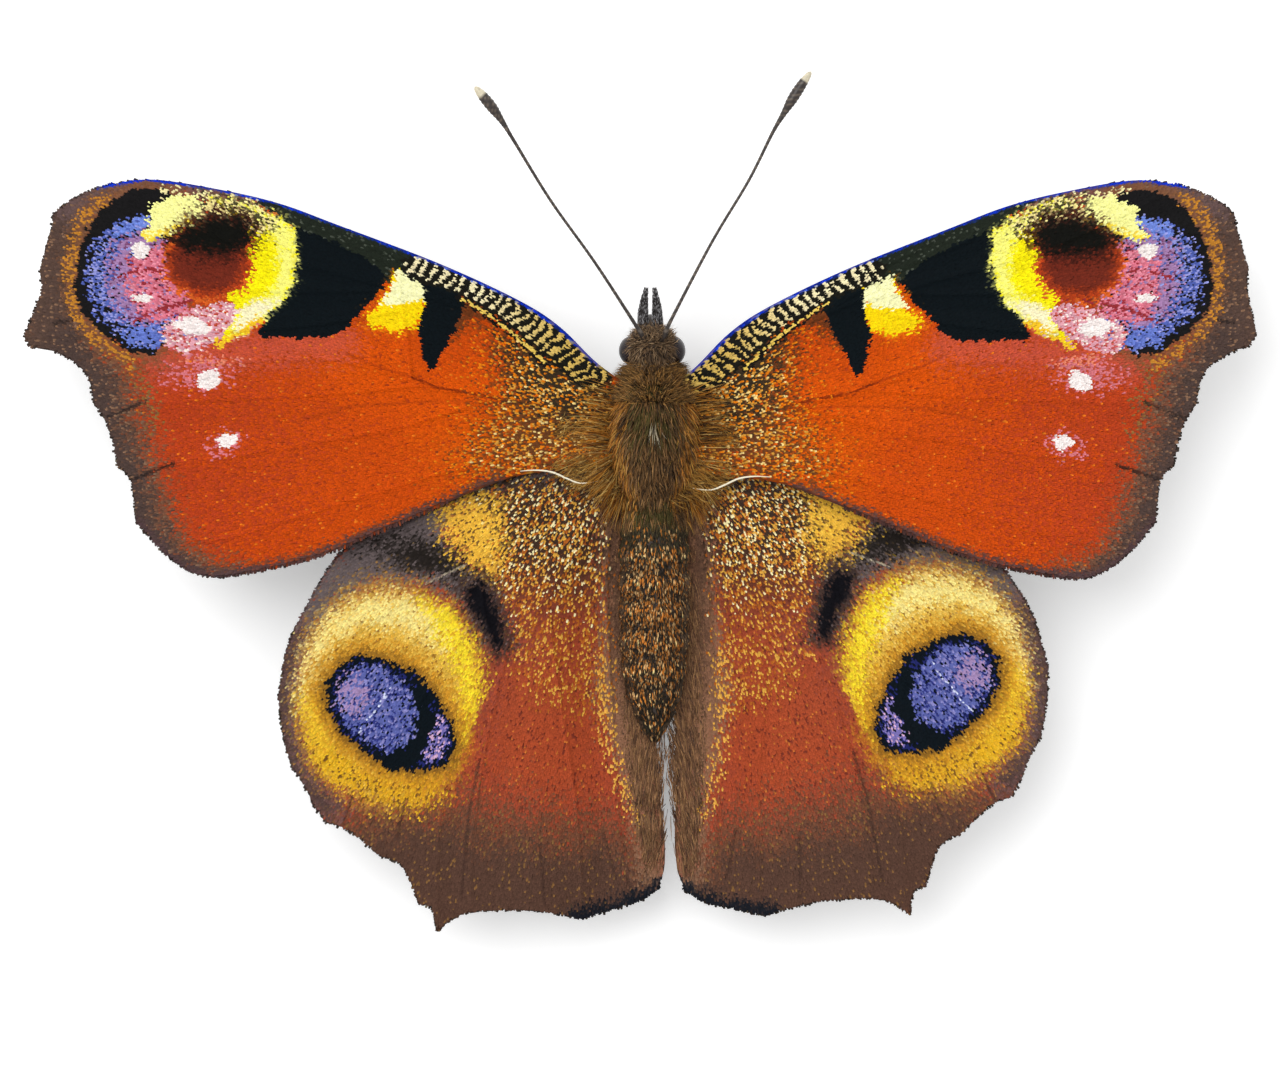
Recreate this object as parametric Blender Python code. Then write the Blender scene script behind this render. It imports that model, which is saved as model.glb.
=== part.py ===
"""A peacock butterfly (Aglais io) basking with its wings spread flat, at life size.

Metres, +Z up, +Y towards the head, +X to the animal's right. The origin is on the floor
below the middle of the whole animal. Every piece is first set out from the body's own
axis: x = 0 on the axis and y = 0 at the waist between thorax and abdomen.
"""

import math
import random

import bmesh
import bpy
from mathutils import Matrix, Vector
from mathutils.geometry import delaunay_2d_cdt, intersect_point_line

MM = 0.001

# Driving sizes, in metres unless a name says otherwise
GAP = 0.3 * MM
THORAX_RINGS = 11
ABDOMEN_RINGS = 8
RING_SWELL = 0.05
HEAD_RINGS = 9
HEAD_AXIS = -0.1 * MM
HEAD_LEVEL = 5.45 * MM
EYE_MIDDLE_Y = 7.6 * MM
EYE_SEAT = 1.05 * MM
SEAT_CUT_REACH = 3.0 * MM
EYE_RADII = Vector((0.62, 0.72, 0.86)) * MM
WING_THICKNESS = 0.5 * MM
VEIN_RISE = 0.15 * MM
VEIN_HALF_WIDTH = 0.3 * MM
VEIN_FADE = 0.45
WING_ROOT_LEVEL = 5.65 * MM
WING_LAYER_STEP = 0.55 * MM
WING_RISE = 0.9 * MM
WING_REACH = 31.0 * MM
TRAILING_DROOP = 0.6 * MM
DROOP_START = 3.0 * MM
DROOP_LENGTH = 24.0 * MM
TROUGH_DEPTH = 1.2 * MM
TROUGH_WIDTH = 6.4 * MM
TROUGH_SLOPE = 4.6 * MM
TROUGH_START = 3.0 * MM
EDGE_STEP = 1.0 * MM
VEIN_STEP = 2.0 * MM
FILL_STEP = 1.4 * MM
FILL_ROW = math.sqrt(0.75) * FILL_STEP
ROUND_SIDES = 20
LIMB_SIDES = 8
ANTENNA_STEP = 1.6 * MM
LEG_STEP = 0.75 * MM
PALP_STEP = 0.4 * MM
MOUTH_AXIS = -0.2 * MM
COIL_MIDDLE_Y = 8.95 * MM
COIL_LEVEL = 3.4 * MM
COIL_RADIUS = 0.78 * MM
COIL_INNER_RADIUS = 0.3 * MM
COIL_TURNS = 1.35
COIL_START = math.radians(100)
COIL_RINGS = 22
TUBE_RADIUS = 0.17 * MM
TUBE_BREADTH = 1.3
TUBE_TAPER = 0.3
LOCK_ROWS = 7
LOCKS_IN_ROW = 7
FIRST_LOCKS_Y = 5.9 * MM
LAST_LOCKS_Y = 0.8 * MM
LOCK_LENGTH = 1.9 * MM
LOCK_WIDTH = 0.85 * MM
LOCK_THICKNESS = 0.5 * MM
LOCK_SINK = 0.45 * MM
LOCK_LIFT = 0.35 * MM
LOCK_SIZES = (0.88, 1.12)
LOCK_SIDES = 6
LOCK_FAN_DEG = 34.0
LOCK_SPREAD = 0.25
LOCK_WANDER = 0.08

# Plan outlines of the left wings in mm, as distance out from the body's axis and
# distance forward of the waist. Each inner list is one smooth stretch; corners and
# the teeth at the vein ends lie where two stretches meet. The right forewing's outer
# corner is blunter than the left one's.
FOREWING_TIPS = {"left": (31.35, 8.3), "right": (30.9, 8.3)}
FOREWING_FRONT = (
    ((1.1, 2.2), (1.1, 5.7)),
    ((1.1, 5.7), (2.9, 7.0), (4.7, 8.75), (6.7, 10.05), (10.7, 11.9), (15.7, 13.8),
     (18.7, 14.9), (21.7, 15.6), (25.2, 16.1), (27.7, 15.65), (29.3, 14.85), (29.85, 14.35)),
    ((29.85, 14.35), (30.1, 13.2), (30.55, 11.6)),
)
FOREWING_REAR = (
    ((27.95, 5.75), (27.85, 4.95), (27.2, 3.95)),
    ((27.2, 3.95), (26.9, 2.9), (26.7, 1.85)),
    ((26.7, 1.85), (26.05, 1.2), (25.85, 0.1), (25.75, -0.95)),
    ((25.75, -0.95), (24.5, -2.4), (23.2, -3.35), (21.95, -3.7), (20.2, -3.5),
     (17.7, -2.95), (15.7, -2.3), (11.7, -0.6), (7.7, 1.05), (5.7, 1.5), (3.7, 1.6), (1.1, 2.2)),
)
HINDWING_STRETCHES = (
    ((1.6, 0.4), (1.6, 1.6), (3.2, 2.5)),
    ((3.2, 2.5), (5.4, 3.0), (8.2, 2.6), (11.2, 1.3), (13.6, -0.6), (15.55, -2.4),
     (17.0, -4.6), (18.2, -7.0), (18.75, -9.7)),
    ((18.75, -9.7), (18.5, -11.6), (18.1, -13.1)),
    ((18.1, -13.1), (17.3, -14.35), (16.95, -15.15), (16.35, -15.95)),
    ((16.35, -15.95), (15.3, -16.3), (13.65, -17.65)),
    ((13.65, -17.65), (12.6, -18.1), (11.75, -20.05)),
    ((11.75, -20.05), (11.15, -20.2), (10.85, -21.4)),
    ((10.85, -21.4), (10.1, -20.8), (9.2, -20.45), (7.7, -20.35), (5.7, -20.4),
     (3.65, -20.85)),
    ((3.65, -20.85), (1.8, -20.3), (0.7, -19.95), (-0.2, -19.35)),
    ((-0.2, -19.35), (-0.5, -18.5), (-0.55, -17.5), (-0.5, -16.5), (-0.35, -15.2),
     (-0.15, -14.0), (-0.1, -12.8), (0.1, -11.0), (0.5, -6.0), (0.5, -2.0), (1.6, 0.4)),
)

# Main veins of the left wings in mm, from the root outwards
FOREWING_VEINS = (
    ((2.3, 6.0), (4.7, 7.75), (7.7, 9.75), (11.2, 11.45), (14.2, 12.75)),
    ((2.3, 5.2), (4.7, 6.9), (7.7, 8.75), (10.7, 10.1), (12.7, 10.6), (16.2, 11.5),
     (20.2, 12.6), (23.2, 13.8), (26.2, 15.2)),
    ((9.2, 9.5), (12.7, 11.6), (16.2, 12.95), (17.9, 13.9)),
    ((19.2, 12.3), (23.2, 12.9), (27.2, 13.4), (29.4, 13.4)),
    ((12.7, 10.6), (17.7, 10.5), (22.7, 10.85), (29.8, 11.3)),
    ((12.5, 9.6), (17.7, 8.75), (22.7, 8.5), (30.6, 8.3)),
    ((2.4, 4.3), (4.7, 4.75), (7.7, 5.15), (10.7, 5.6), (12.1, 6.05), (15.7, 7.1),
     (20.2, 7.0), (24.2, 6.75), (27.5, 6.3)),
    ((11.5, 5.85), (16.2, 5.4), (21.7, 5.1), (25.3, 4.9), (26.8, 4.3)),
    ((7.9, 5.2), (12.7, 3.75), (18.7, 2.65), (23.9, 1.9), (26.0, 1.6)),
    ((2.4, 3.1), (5.7, 2.5), (10.7, 1.4), (16.7, -0.4), (21.7, -1.9), (24.2, -1.85)),
    ((12.7, 10.6), (12.4, 8.6), (12.1, 6.05)),
)
HINDWING_VEINS = (
    ((2.6, 1.6), (5.7, 1.5), (9.7, 0.1), (13.2, -1.6), (15.6, -3.3)),
    ((2.6, 0.6), (5.4, 0.0), (7.4, -2.2), (11.7, -4.5), (15.7, -7.0), (18.1, -9.3)),
    ((7.4, -2.2), (8.7, -4.0), (12.7, -7.5), (15.7, -11.5), (17.1, -13.8)),
    ((8.6, -5.2), (11.7, -10.0), (14.2, -14.0), (15.2, -15.8)),
    ((2.6, -0.5), (4.2, -3.0), (6.2, -6.0), (7.9, -7.4), (9.9, -12.0), (10.85, -17.0),
     (10.85, -20.6)),
    ((7.3, -7.0), (8.4, -12.0), (9.1, -16.5), (9.2, -19.9)),
    ((5.4, -4.8), (4.7, -10.0), (3.95, -15.0), (3.6, -20.1)),
    ((2.3, -2.0), (2.4, -5.0), (2.1, -11.0), (1.8, -16.0), (1.4, -19.4)),
    ((8.7, -4.0), (8.5, -5.7), (7.9, -7.4)),
)

# How the right wings are held, against a plain mirror image of the left ones:
# turn about the middle of the body in degrees, then shift out and forward in mm
RIGHT_FOREWING_SET = (0.81, -0.91, -0.36)
RIGHT_HINDWING_SET = (5.0, 0.0, 0.0)
FOREWING_PIVOT = Vector((2.3, 4.0)) * MM
HINDWING_PIVOT = Vector((2.3, 1.0)) * MM

# Antenna paths in mm: distance out, forward, height, radius. The last four make the club.
ANTENNAE = {
    "left": ((0.55, 8.35, 6.9, 0.24), (1.1, 9.1, 7.15, 0.22), (3.0, 12.0, 7.6, 0.21),
             (5.15, 15.0, 8.0, 0.21), (7.1, 18.0, 8.4, 0.23), (7.75, 19.0, 8.5, 0.33),
             (8.3, 19.85, 8.6, 0.33), (8.9, 20.65, 8.7, 0.16)),
    "right": ((0.45, 8.35, 6.9, 0.24), (0.9, 9.2, 7.15, 0.22), (2.9, 13.0, 7.7, 0.21),
              (4.7, 16.0, 8.1, 0.21), (6.0, 18.4, 8.4, 0.23), (6.6, 19.4, 8.5, 0.33),
              (7.1, 20.3, 8.6, 0.33), (7.8, 21.4, 8.7, 0.16)),
}

# Palp path in mm from the middle of the mouth: distance out, forward, height, radius
PALP = ((0.4, 8.95, 4.85, 0.22), (0.42, 9.4, 4.95, 0.25), (0.4, 9.9, 5.2, 0.24),
        (0.36, 10.5, 5.5, 0.13))

# Leg paths in mm: distance out, forward, height, radius
LEGS = {
    "foreleg": ((0.75, 5.3, 2.95, 0.3), (0.85, 6.0, 3.0, 0.3), (1.0, 7.2, 3.2, 0.27),
                (1.1, 7.5, 2.75, 0.27), (1.05, 6.9, 2.3, 0.28), (1.0, 5.6, 1.9, 0.2)),
    "midleg": ((1.0, 3.8, 2.75, 0.42), (1.5, 3.95, 2.3, 0.4), (3.1, 4.7, 3.4, 0.36),
               (4.4, 5.25, 4.15, 0.3), (4.95, 5.5, 3.75, 0.3), (5.8, 5.85, 2.0, 0.27),
               (6.5, 6.15, 0.65, 0.26), (7.0, 6.4, 0.22, 0.26), (7.9, 6.85, 0.17, 0.26),
               (8.9, 7.3, 0.17, 0.25)),
    "hindleg": ((1.0, 1.5, 2.75, 0.42), (1.5, 1.25, 2.3, 0.4), (2.9, 0.3, 3.3, 0.36),
                (4.1, -0.5, 4.0, 0.3), (4.6, -0.95, 3.6, 0.3), (5.3, -2.3, 2.0, 0.27),
                (5.85, -3.35, 0.65, 0.26), (6.15, -3.9, 0.22, 0.26),
                (6.6, -5.2, 0.17, 0.26), (7.1, -6.6, 0.17, 0.25)),
}

# Finishes: base colour, roughness
RUST = ((0.55, 0.12, 0.02), 0.6)
BROWN_RED = ((0.33, 0.09, 0.03), 0.65)
OLIVE_BROWN = ((0.14, 0.08, 0.025), 0.9)
DARK_BROWN = ((0.05, 0.032, 0.02), 0.85)
BLACK_BROWN = ((0.02, 0.016, 0.015), 0.5)
EYE_BROWN = ((0.035, 0.02, 0.015), 0.2)
GREY_BROWN = ((0.12, 0.1, 0.085), 0.8)

SIDES = {"left": -1.0, "right": 1.0}


# General tools

def finish(obj, look, parent):
    """Give the object its own material, smooth shading and its parent."""
    colour, roughness = look
    material = bpy.data.materials.new(obj.name)
    material.use_nodes = True
    shader = material.node_tree.nodes["Principled BSDF"]
    shader.inputs["Base Color"].default_value = (*colour, 1.0)
    shader.inputs["Roughness"].default_value = roughness
    shader.inputs["Metallic"].default_value = 0.0
    obj.data.materials.clear()
    obj.data.materials.append(material)
    obj.data.shade_smooth()
    obj.data.set_sharp_from_angle(angle=math.radians(50))
    obj.parent = parent


def mesh_object(name, bm):
    """Turn a bmesh into an object with closed, outward faces."""
    bmesh.ops.recalc_face_normals(bm, faces=bm.faces)
    mesh = bpy.data.meshes.new(name)
    bm.to_mesh(mesh)
    bm.free()
    obj = bpy.data.objects.new(name, mesh)
    bpy.context.scene.collection.objects.link(obj)
    return obj


def close_holes(bm):
    rims = [edge for edge in bm.edges if edge.is_boundary]
    bmesh.ops.holes_fill(bm, edges=rims)


def loft(sections, sides, pointed=False):
    """Extrude one ring through the sections; each is a centre and two half-axis vectors."""
    bm = bmesh.new()
    bmesh.ops.create_circle(bm, cap_ends=True, segments=sides, radius=1.0)
    bm.faces.ensure_lookup_table()
    cap = bm.faces[0]
    for number, (centre, across, up) in enumerate(sections):
        if number:
            cap = bmesh.ops.extrude_discrete_faces(bm, faces=[cap])["faces"][0]
        for index, vert in enumerate(cap.verts):
            angle = 2.0 * math.pi * (index + 0.5) / sides
            vert.co = centre + across * math.cos(angle) + up * math.sin(angle)
    if pointed:
        bmesh.ops.pointmerge(bm, verts=list(cap.verts), merge_co=sections[-1][0])
    close_holes(bm)
    return bm


def smooth_line(points, step):
    """Points about one step apart on a smooth curve through the given vectors."""
    before = [points[0]] + points[:-1]
    after = points[1:] + [points[-1]]
    lean = [(b - a) / 6.0 for a, b in zip(before, after)]
    line = [points[0]]
    for i in range(len(points) - 1):
        start, end = points[i], points[i + 1]
        pull, push = start + lean[i], end - lean[i + 1]
        count = max(1, round((end - start).length / step))
        for t in (number / count for number in range(1, count + 1)):
            near = (start * (1.0 - t) + pull * 3.0 * t) * (1.0 - t) ** 2
            far = (push * 3.0 * (1.0 - t) + end * t) * t * t
            line.append(near + far)
    return line


def limb_sections(path, side, step):
    """Rings along a path of (out, forward, height, radius) rows in mm."""
    knots = [Vector(row) * MM for row in path]
    line = smooth_line(knots, step)
    centres = [Vector((side * p[0], p[1], p[2])) for p in line]
    across = (centres[1] - centres[0]).cross(Vector((0.0, 0.0, 1.0)))
    sections = []
    for i, (centre, row) in enumerate(zip(centres, line)):
        ahead = (centres[min(i + 1, len(centres) - 1)] - centres[max(i - 1, 0)]).normalized()
        across = (across - ahead * across.dot(ahead)).normalized()
        up = across.cross(ahead)
        sections.append((centre, across * row[3], up * row[3]))
    return sections


def evaluated_copy(obj):
    """Apply an object's modifiers to its own mesh."""
    bpy.context.view_layer.update()
    graph = bpy.context.evaluated_depsgraph_get()
    mesh = bpy.data.meshes.new_from_object(obj.evaluated_get(graph))
    obj.modifiers.clear()
    obj.data = mesh
    return obj


def keep_largest(obj):
    """Drop every closed surface of the object but the largest."""
    bm = bmesh.new()
    bm.from_mesh(obj.data)
    left = set(bm.faces)
    shells = []
    while left:
        front = [left.pop()]
        shell = list(front)
        while front:
            face = front.pop()
            for edge in face.edges:
                for other in edge.link_faces:
                    if other in left:
                        left.remove(other)
                        shell.append(other)
                        front.append(other)
        shells.append(shell)
    shells.sort(key=lambda faces: sum(face.calc_area() for face in faces))
    for shell in shells[:-1]:
        bmesh.ops.delete(bm, geom=shell, context="FACES")
    bm.to_mesh(obj.data)
    bm.free()


def combine(obj, others, operation, solver="EXACT"):
    """Boolean the others into obj or out of it in one step, and remove them."""
    group = bpy.data.collections.new(obj.name + " pieces")
    bpy.context.scene.collection.children.link(group)
    for other in others:
        bpy.context.scene.collection.objects.unlink(other)
        group.objects.link(other)
    modifier = obj.modifiers.new("combine", "BOOLEAN")
    modifier.operation = operation
    modifier.operand_type = "COLLECTION"
    modifier.collection = group
    modifier.solver = solver
    evaluated_copy(obj)
    for other in others:
        bpy.data.objects.remove(other)
    bpy.data.collections.remove(group)
    keep_largest(obj)


# Body

def body_profile(stations, y):
    """Half width, half height and middle height at y, eased between stations in mm."""
    y = y / MM
    for (y0, *first), (y1, *second) in zip(stations, stations[1:]):
        if min(y0, y1) <= y <= max(y0, y1):
            share = (y - y0) / (y1 - y0)
            share = share * share * (3.0 - 2.0 * share) * 0.5 + share * 0.5
            return [(a + (b - a) * share) * MM for a, b in zip(first, second)]
    return [value * MM for value in stations[-1][1:]]


# Stations are y, half width, half height, middle height, in mm
THORAX_STATIONS = (
    (6.3, 1.25, 1.15, 5.4), (5.6, 1.95, 1.75, 5.35), (4.4, 2.5, 2.15, 5.25),
    (3.0, 2.6, 2.25, 5.2), (1.6, 2.35, 2.1, 5.1), (0.15, 1.65, 1.6, 4.95),
)
ABDOMEN_STATIONS = (
    (-0.15, 1.55, 1.5, 4.9), (-1.5, 1.8, 1.75, 4.8), (-4.0, 1.8, 1.85, 4.65),
    (-7.0, 1.78, 1.8, 4.5), (-9.0, 1.6, 1.6, 4.4), (-10.4, 1.15, 1.2, 4.3),
    (-11.3, 0.7, 0.75, 4.25), (-11.9, 0.25, 0.3, 4.2),
)
HEAD_STATIONS = (
    (8.55, 0.45, 0.45, 5.3), (8.4, 0.9, 0.85, 5.35), (8.1, 1.3, 1.2, 5.4),
    (7.6, 1.5, 1.35, 5.45), (7.0, 1.4, 1.25, 5.42), (6.6, 1.0, 0.95, 5.4),
)


def body_sections(stations, places, middle=0.0, swell=0.0, grow=0.0):
    """Upright rings from front to back, grown all round and over both ends."""
    sections = []
    for index, y in enumerate(places):
        width, height, level = body_profile(stations, y)
        fuller = 1.0 + swell * (index % 2)
        across = Vector((width * fuller + grow, 0.0, 0.0))
        up = Vector((0.0, 0.0, height * fuller + grow))
        longer = grow * (1 - 2 * index / (len(places) - 1))
        sections.append((Vector((middle, y + longer, level)), across, up))
    return sections


def even_places(start, end, count):
    return [start + (end - start) * i / (count - 1) for i in range(count)]


def thorax_form(name, grow=0.0):
    front, back = THORAX_STATIONS[0][0] * MM, THORAX_STATIONS[-1][0] * MM
    places = even_places(front, back, THORAX_RINGS)
    sections = body_sections(THORAX_STATIONS, places, grow=grow)
    return mesh_object(name, loft(sections, ROUND_SIDES))


def coat_lock(root, outward, lie, size):
    """One flat, tapering lock that leaves its sunk root, rises and bends down to its tip."""
    across = outward.cross(lie).normalized()
    length, width = LOCK_LENGTH * size, LOCK_WIDTH * size
    # Share of the length, height over the root, share of the width, share of the thickness
    stations = (
        (0.0, -LOCK_SINK, 0.75, 1.0), (0.25, 0.1 * MM, 1.0, 0.95),
        (0.65, LOCK_LIFT, 0.8, 0.7), (1.0, 0.6 * LOCK_LIFT, 0.0, 0.0),
    )
    sections = [
        (root + lie * length * along + outward * height,
         across * 0.5 * width * wide, outward * 0.5 * LOCK_THICKNESS * thick)
        for along, height, wide, thick in stations
    ]
    return mesh_object("lock", loft(sections, LOCK_SIDES, pointed=True))


def thorax():
    """The thorax with its long coat lying backwards in rows of overlapping locks."""
    draw = random.Random(6)
    obj = thorax_form("thorax")
    locks = []
    for row in range(LOCK_ROWS):
        share = (row + 0.5) / LOCK_ROWS
        y = FIRST_LOCKS_Y + (LAST_LOCKS_Y - FIRST_LOCKS_Y) * share
        width, height, level = body_profile(THORAX_STATIONS, y)
        for place in range(LOCKS_IN_ROW):
            fan = 2.0 * (place + 0.5 * (row % 2) + 0.25) / LOCKS_IN_ROW - 1.0
            turn = math.radians(LOCK_FAN_DEG * fan + draw.uniform(-2.0, 2.0))
            root = Vector((width * math.sin(turn), y, level + height * math.cos(turn)))
            outward = Vector((math.sin(turn) / width, 0.0, math.cos(turn) / height))
            outward.normalize()
            drift = LOCK_SPREAD * fan + draw.uniform(-LOCK_WANDER, LOCK_WANDER)
            lie = Vector((drift, -1.0, 0.0))
            lie = (lie - outward * lie.dot(outward)).normalized()
            lie.z = max(lie.z, 0.0)
            locks.append(coat_lock(root, outward, lie, draw.uniform(*LOCK_SIZES)))
    combine(obj, locks, "UNION")
    return obj


def abdomen_form(name, grow=0.0):
    """Eight rings, each swelling between two creases."""
    front, back = ABDOMEN_STATIONS[0][0] * MM, ABDOMEN_STATIONS[-1][0] * MM
    places = even_places(front, back, 2 * ABDOMEN_RINGS + 1)
    sections = body_sections(ABDOMEN_STATIONS, places, swell=RING_SWELL, grow=grow)
    return mesh_object(name, loft(sections, ROUND_SIDES))


def eye_seat_cutter(side):
    """A cylinder that cuts the flat seat of one eye into the side of the head."""
    middle = Vector((HEAD_AXIS, EYE_MIDDLE_Y, HEAD_LEVEL))
    across = Vector((0.0, EYE_RADII.y + GAP, 0.0))
    up = Vector((0.0, 0.0, EYE_RADII.z + GAP))
    inner = middle + Vector((side * (EYE_SEAT - GAP), 0.0, 0.0))
    outer = middle + Vector((side * SEAT_CUT_REACH, 0.0, 0.0))
    sections = [(inner, across, up), (outer, across, up)]
    return mesh_object("eye seat", loft(sections, ROUND_SIDES))


def head():
    front, back = HEAD_STATIONS[0][0] * MM, HEAD_STATIONS[-1][0] * MM
    places = even_places(front, back, HEAD_RINGS)
    sections = body_sections(HEAD_STATIONS, places, middle=HEAD_AXIS)
    obj = mesh_object("head", loft(sections, ROUND_SIDES))
    combine(obj, [eye_seat_cutter(side) for side in SIDES.values()], "DIFFERENCE")
    return obj


def eye(name, side):
    """Outer half of an ellipsoid, flat where it faces its seat."""
    bm = bmesh.new()
    bmesh.ops.create_uvsphere(bm, u_segments=16, v_segments=10, radius=1.0)
    bmesh.ops.bisect_plane(
        bm, geom=bm.verts[:] + bm.edges[:] + bm.faces[:], plane_co=(0.0, 0.0, 0.0),
        plane_no=(side, 0.0, 0.0), clear_inner=True, dist=1e-6,
    )
    close_holes(bm)
    bmesh.ops.scale(bm, vec=EYE_RADII, verts=bm.verts)
    seat = Vector((HEAD_AXIS + side * EYE_SEAT, EYE_MIDDLE_Y, HEAD_LEVEL))
    bmesh.ops.translate(bm, vec=seat, verts=bm.verts)
    return mesh_object(name, bm)


def antenna(name, side, path):
    sections = limb_sections(path, side, ANTENNA_STEP)
    return mesh_object(name, loft(sections, LIMB_SIDES))


def palp(name, side):
    """A blunt upturned palp in front of the face."""
    sections = limb_sections(PALP, side, PALP_STEP)
    lean = Vector((MOUTH_AXIS, 0.0, 0.0))
    sections = [(centre + lean, across, up) for centre, across, up in sections]
    return mesh_object(name, loft(sections, LIMB_SIDES))


def proboscis():
    """The sucking tube, rolled up like a watch spring below the face."""
    middle = Vector((MOUTH_AXIS, COIL_MIDDLE_Y, COIL_LEVEL))
    sections = []
    for i in range(COIL_RINGS):
        share = i / (COIL_RINGS - 1)
        radius = COIL_RADIUS + (COIL_INNER_RADIUS - COIL_RADIUS) * share
        angle = COIL_START - 2.0 * math.pi * COIL_TURNS * share
        out = Vector((0.0, math.cos(angle), math.sin(angle)))
        thick = TUBE_RADIUS * (1.0 - TUBE_TAPER * share)
        across = Vector((thick * TUBE_BREADTH, 0.0, 0.0))
        sections.append((middle + out * radius, across, out * thick))
    return mesh_object("proboscis", loft(sections, LIMB_SIDES))


def leg(name, side, path):
    """A jointed leg; a walking leg's foot is flat where it rests on the floor."""
    bm = loft(limb_sections(path, side, LEG_STEP), LIMB_SIDES)
    bmesh.ops.bisect_plane(
        bm, geom=bm.verts[:] + bm.edges[:] + bm.faces[:], plane_co=(0.0, 0.0, 0.0),
        plane_no=(0.0, 0.0, 1.0), clear_inner=True, dist=1e-7,
    )
    close_holes(bm)
    return mesh_object(name, bm)


# Wings

def wing_level(point):
    """Height of the surface that lies between fore and hind wing."""
    out, forward = abs(point.x), point.y
    arch = math.sin(0.7 * math.pi * min(out / WING_REACH, 1.0))
    droop = TRAILING_DROOP * (min(forward - DROOP_START, 0.0) / DROOP_LENGTH) ** 2
    return WING_ROOT_LEVEL + WING_RISE * arch - droop


def trough(point):
    """How far the hindwing sinks beside the abdomen."""
    near = min(max((TROUGH_WIDTH - abs(point.x)) / TROUGH_SLOPE, 0.0), 1.0)
    behind = min(max(-point.y / TROUGH_START, 0.0), 1.0)
    return TROUGH_DEPTH * near * near * (3.0 - 2.0 * near) * behind


def held(point, side, pivot, setting):
    """Place a plan point of a wing: mirrored to its side, turned and shifted."""
    turn, out, forward = setting
    arm = (Vector(point) * MM) - pivot
    arm.rotate(Matrix.Rotation(math.radians(turn), 2))
    placed = pivot + arm + Vector((out, forward)) * MM
    return Vector((side * placed.x, placed.y))


def outline(stretches, place):
    line = []
    for stretch in stretches:
        line.extend(smooth_line([place(point) for point in stretch], EDGE_STEP)[:-1])
    return line


def forewing_stretches(word):
    """The whole outline of a forewing, with its own outer corner."""
    front, back = FOREWING_FRONT[-1][-1], FOREWING_REAR[0][0]
    tip = FOREWING_TIPS[word]
    above = (front, (30.5, 10.5), tip)
    below = (tip, (tip[0] - 0.35, 7.75), (29.7, 7.45), (28.5, 6.7), back)
    return (*FOREWING_FRONT, above, below, *FOREWING_REAR)


def feet(line):
    """The two lines where the slopes of a vein's ridge end."""
    sides = ([], [])
    for i in range(1, len(line) - 1):
        across = (line[i + 1] - line[i - 1]).normalized().orthogonal() * VEIN_HALF_WIDTH
        sides[0].append(line[i] + across)
        sides[1].append(line[i] - across)
    return sides


def ridge(point, lines):
    """Share of the full vein height at a plan point."""
    flat = Vector((point.x, point.y, 0.0))
    best = 0.0
    for line in lines:
        for i in range(len(line) - 1):
            start, end = line[i].to_3d(), line[i + 1].to_3d()
            nearest, share = intersect_point_line(flat, start, end)
            nearest = start if share < 0.0 else end if share > 1.0 else nearest
            along = (i + min(max(share, 0.0), 1.0)) / (len(line) - 1)
            fade = 1.0 - VEIN_FADE * along
            best = max(best, fade * (1.0 - (flat - nearest).length / VEIN_HALF_WIDTH))
    return best


def fill_points(edge, lines):
    """Evenly spread points inside the outline, clear of every line."""
    taken = edge + [point for line in lines for point in line]
    low = [min(point[i] for point in edge) for i in range(2)]
    high = [max(point[i] for point in edge) for i in range(2)]
    rows = math.ceil((high[1] - low[1]) / FILL_ROW)
    columns = math.ceil((high[0] - low[0]) / FILL_STEP)
    found = []
    for row in range(rows):
        for column in range(columns):
            x = low[0] + FILL_STEP * (column + 0.5 * (row % 2))
            point = Vector((x, low[1] + FILL_ROW * row))
            if min((point - other).length for other in taken) > 0.5 * FILL_STEP:
                found.append(point)
    return found


def wing(name, side, stretches, veins, pivot, setting, layer, sunken):
    """A thin curved membrane, with each vein a ridge raised in both faces."""
    def place(point):
        return held(point, side, pivot, setting)

    edge = outline(stretches, place)
    lines = [smooth_line([place(point) for point in vein], VEIN_STEP) for vein in veins]
    points, edges = list(edge), []
    for line in [part for vein in lines for part in (vein, *feet(vein))]:
        edges += [(len(points) + i, len(points) + i + 1) for i in range(len(line) - 1)]
        points += line
    points += fill_points(edge, lines)
    plan, _, faces, *_ = delaunay_2d_cdt(
        [point / MM for point in points], edges, [list(range(len(edge)))], 1, 1e-4
    )
    bm = bmesh.new()
    strength = bm.verts.layers.deform.verify()
    for spot in plan:
        point = Vector(spot) * MM
        level = wing_level(point) + layer * WING_LAYER_STEP - sunken * trough(point)
        vert = bm.verts.new((point.x, point.y, level))
        vert[strength][0] = max(ridge(point, lines), 0.0)
    bm.verts.ensure_lookup_table()
    for face in faces:
        bm.faces.new([bm.verts[i] for i in face])
    obj = mesh_object(name, bm)
    obj.vertex_groups.new(name="veins")
    full = WING_THICKNESS + 2.0 * VEIN_RISE
    modifier = obj.modifiers.new("thickness", "SOLIDIFY")
    modifier.thickness = full
    modifier.offset = 0.0
    modifier.vertex_group = "veins"
    modifier.thickness_vertex_group = WING_THICKNESS / full
    evaluated_copy(obj)
    cutters = [thorax_form("thorax clearance", GAP)]
    if sunken:
        cutters.append(abdomen_form("abdomen clearance", GAP))
    combine(obj, cutters, "DIFFERENCE", "MANIFOLD")
    return obj


def settle(parent):
    """Stand the animal on the floor with the middle of its box over the origin."""
    bpy.context.view_layer.update()
    corners = [
        child.matrix_world @ vert.co for child in parent.children for vert in child.data.vertices
    ]
    low = [min(corner[i] for corner in corners) for i in range(3)]
    high = [max(corner[i] for corner in corners) for i in range(3)]
    parent.location = (-(low[0] + high[0]) / 2.0, -(low[1] + high[1]) / 2.0, -low[2])


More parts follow.
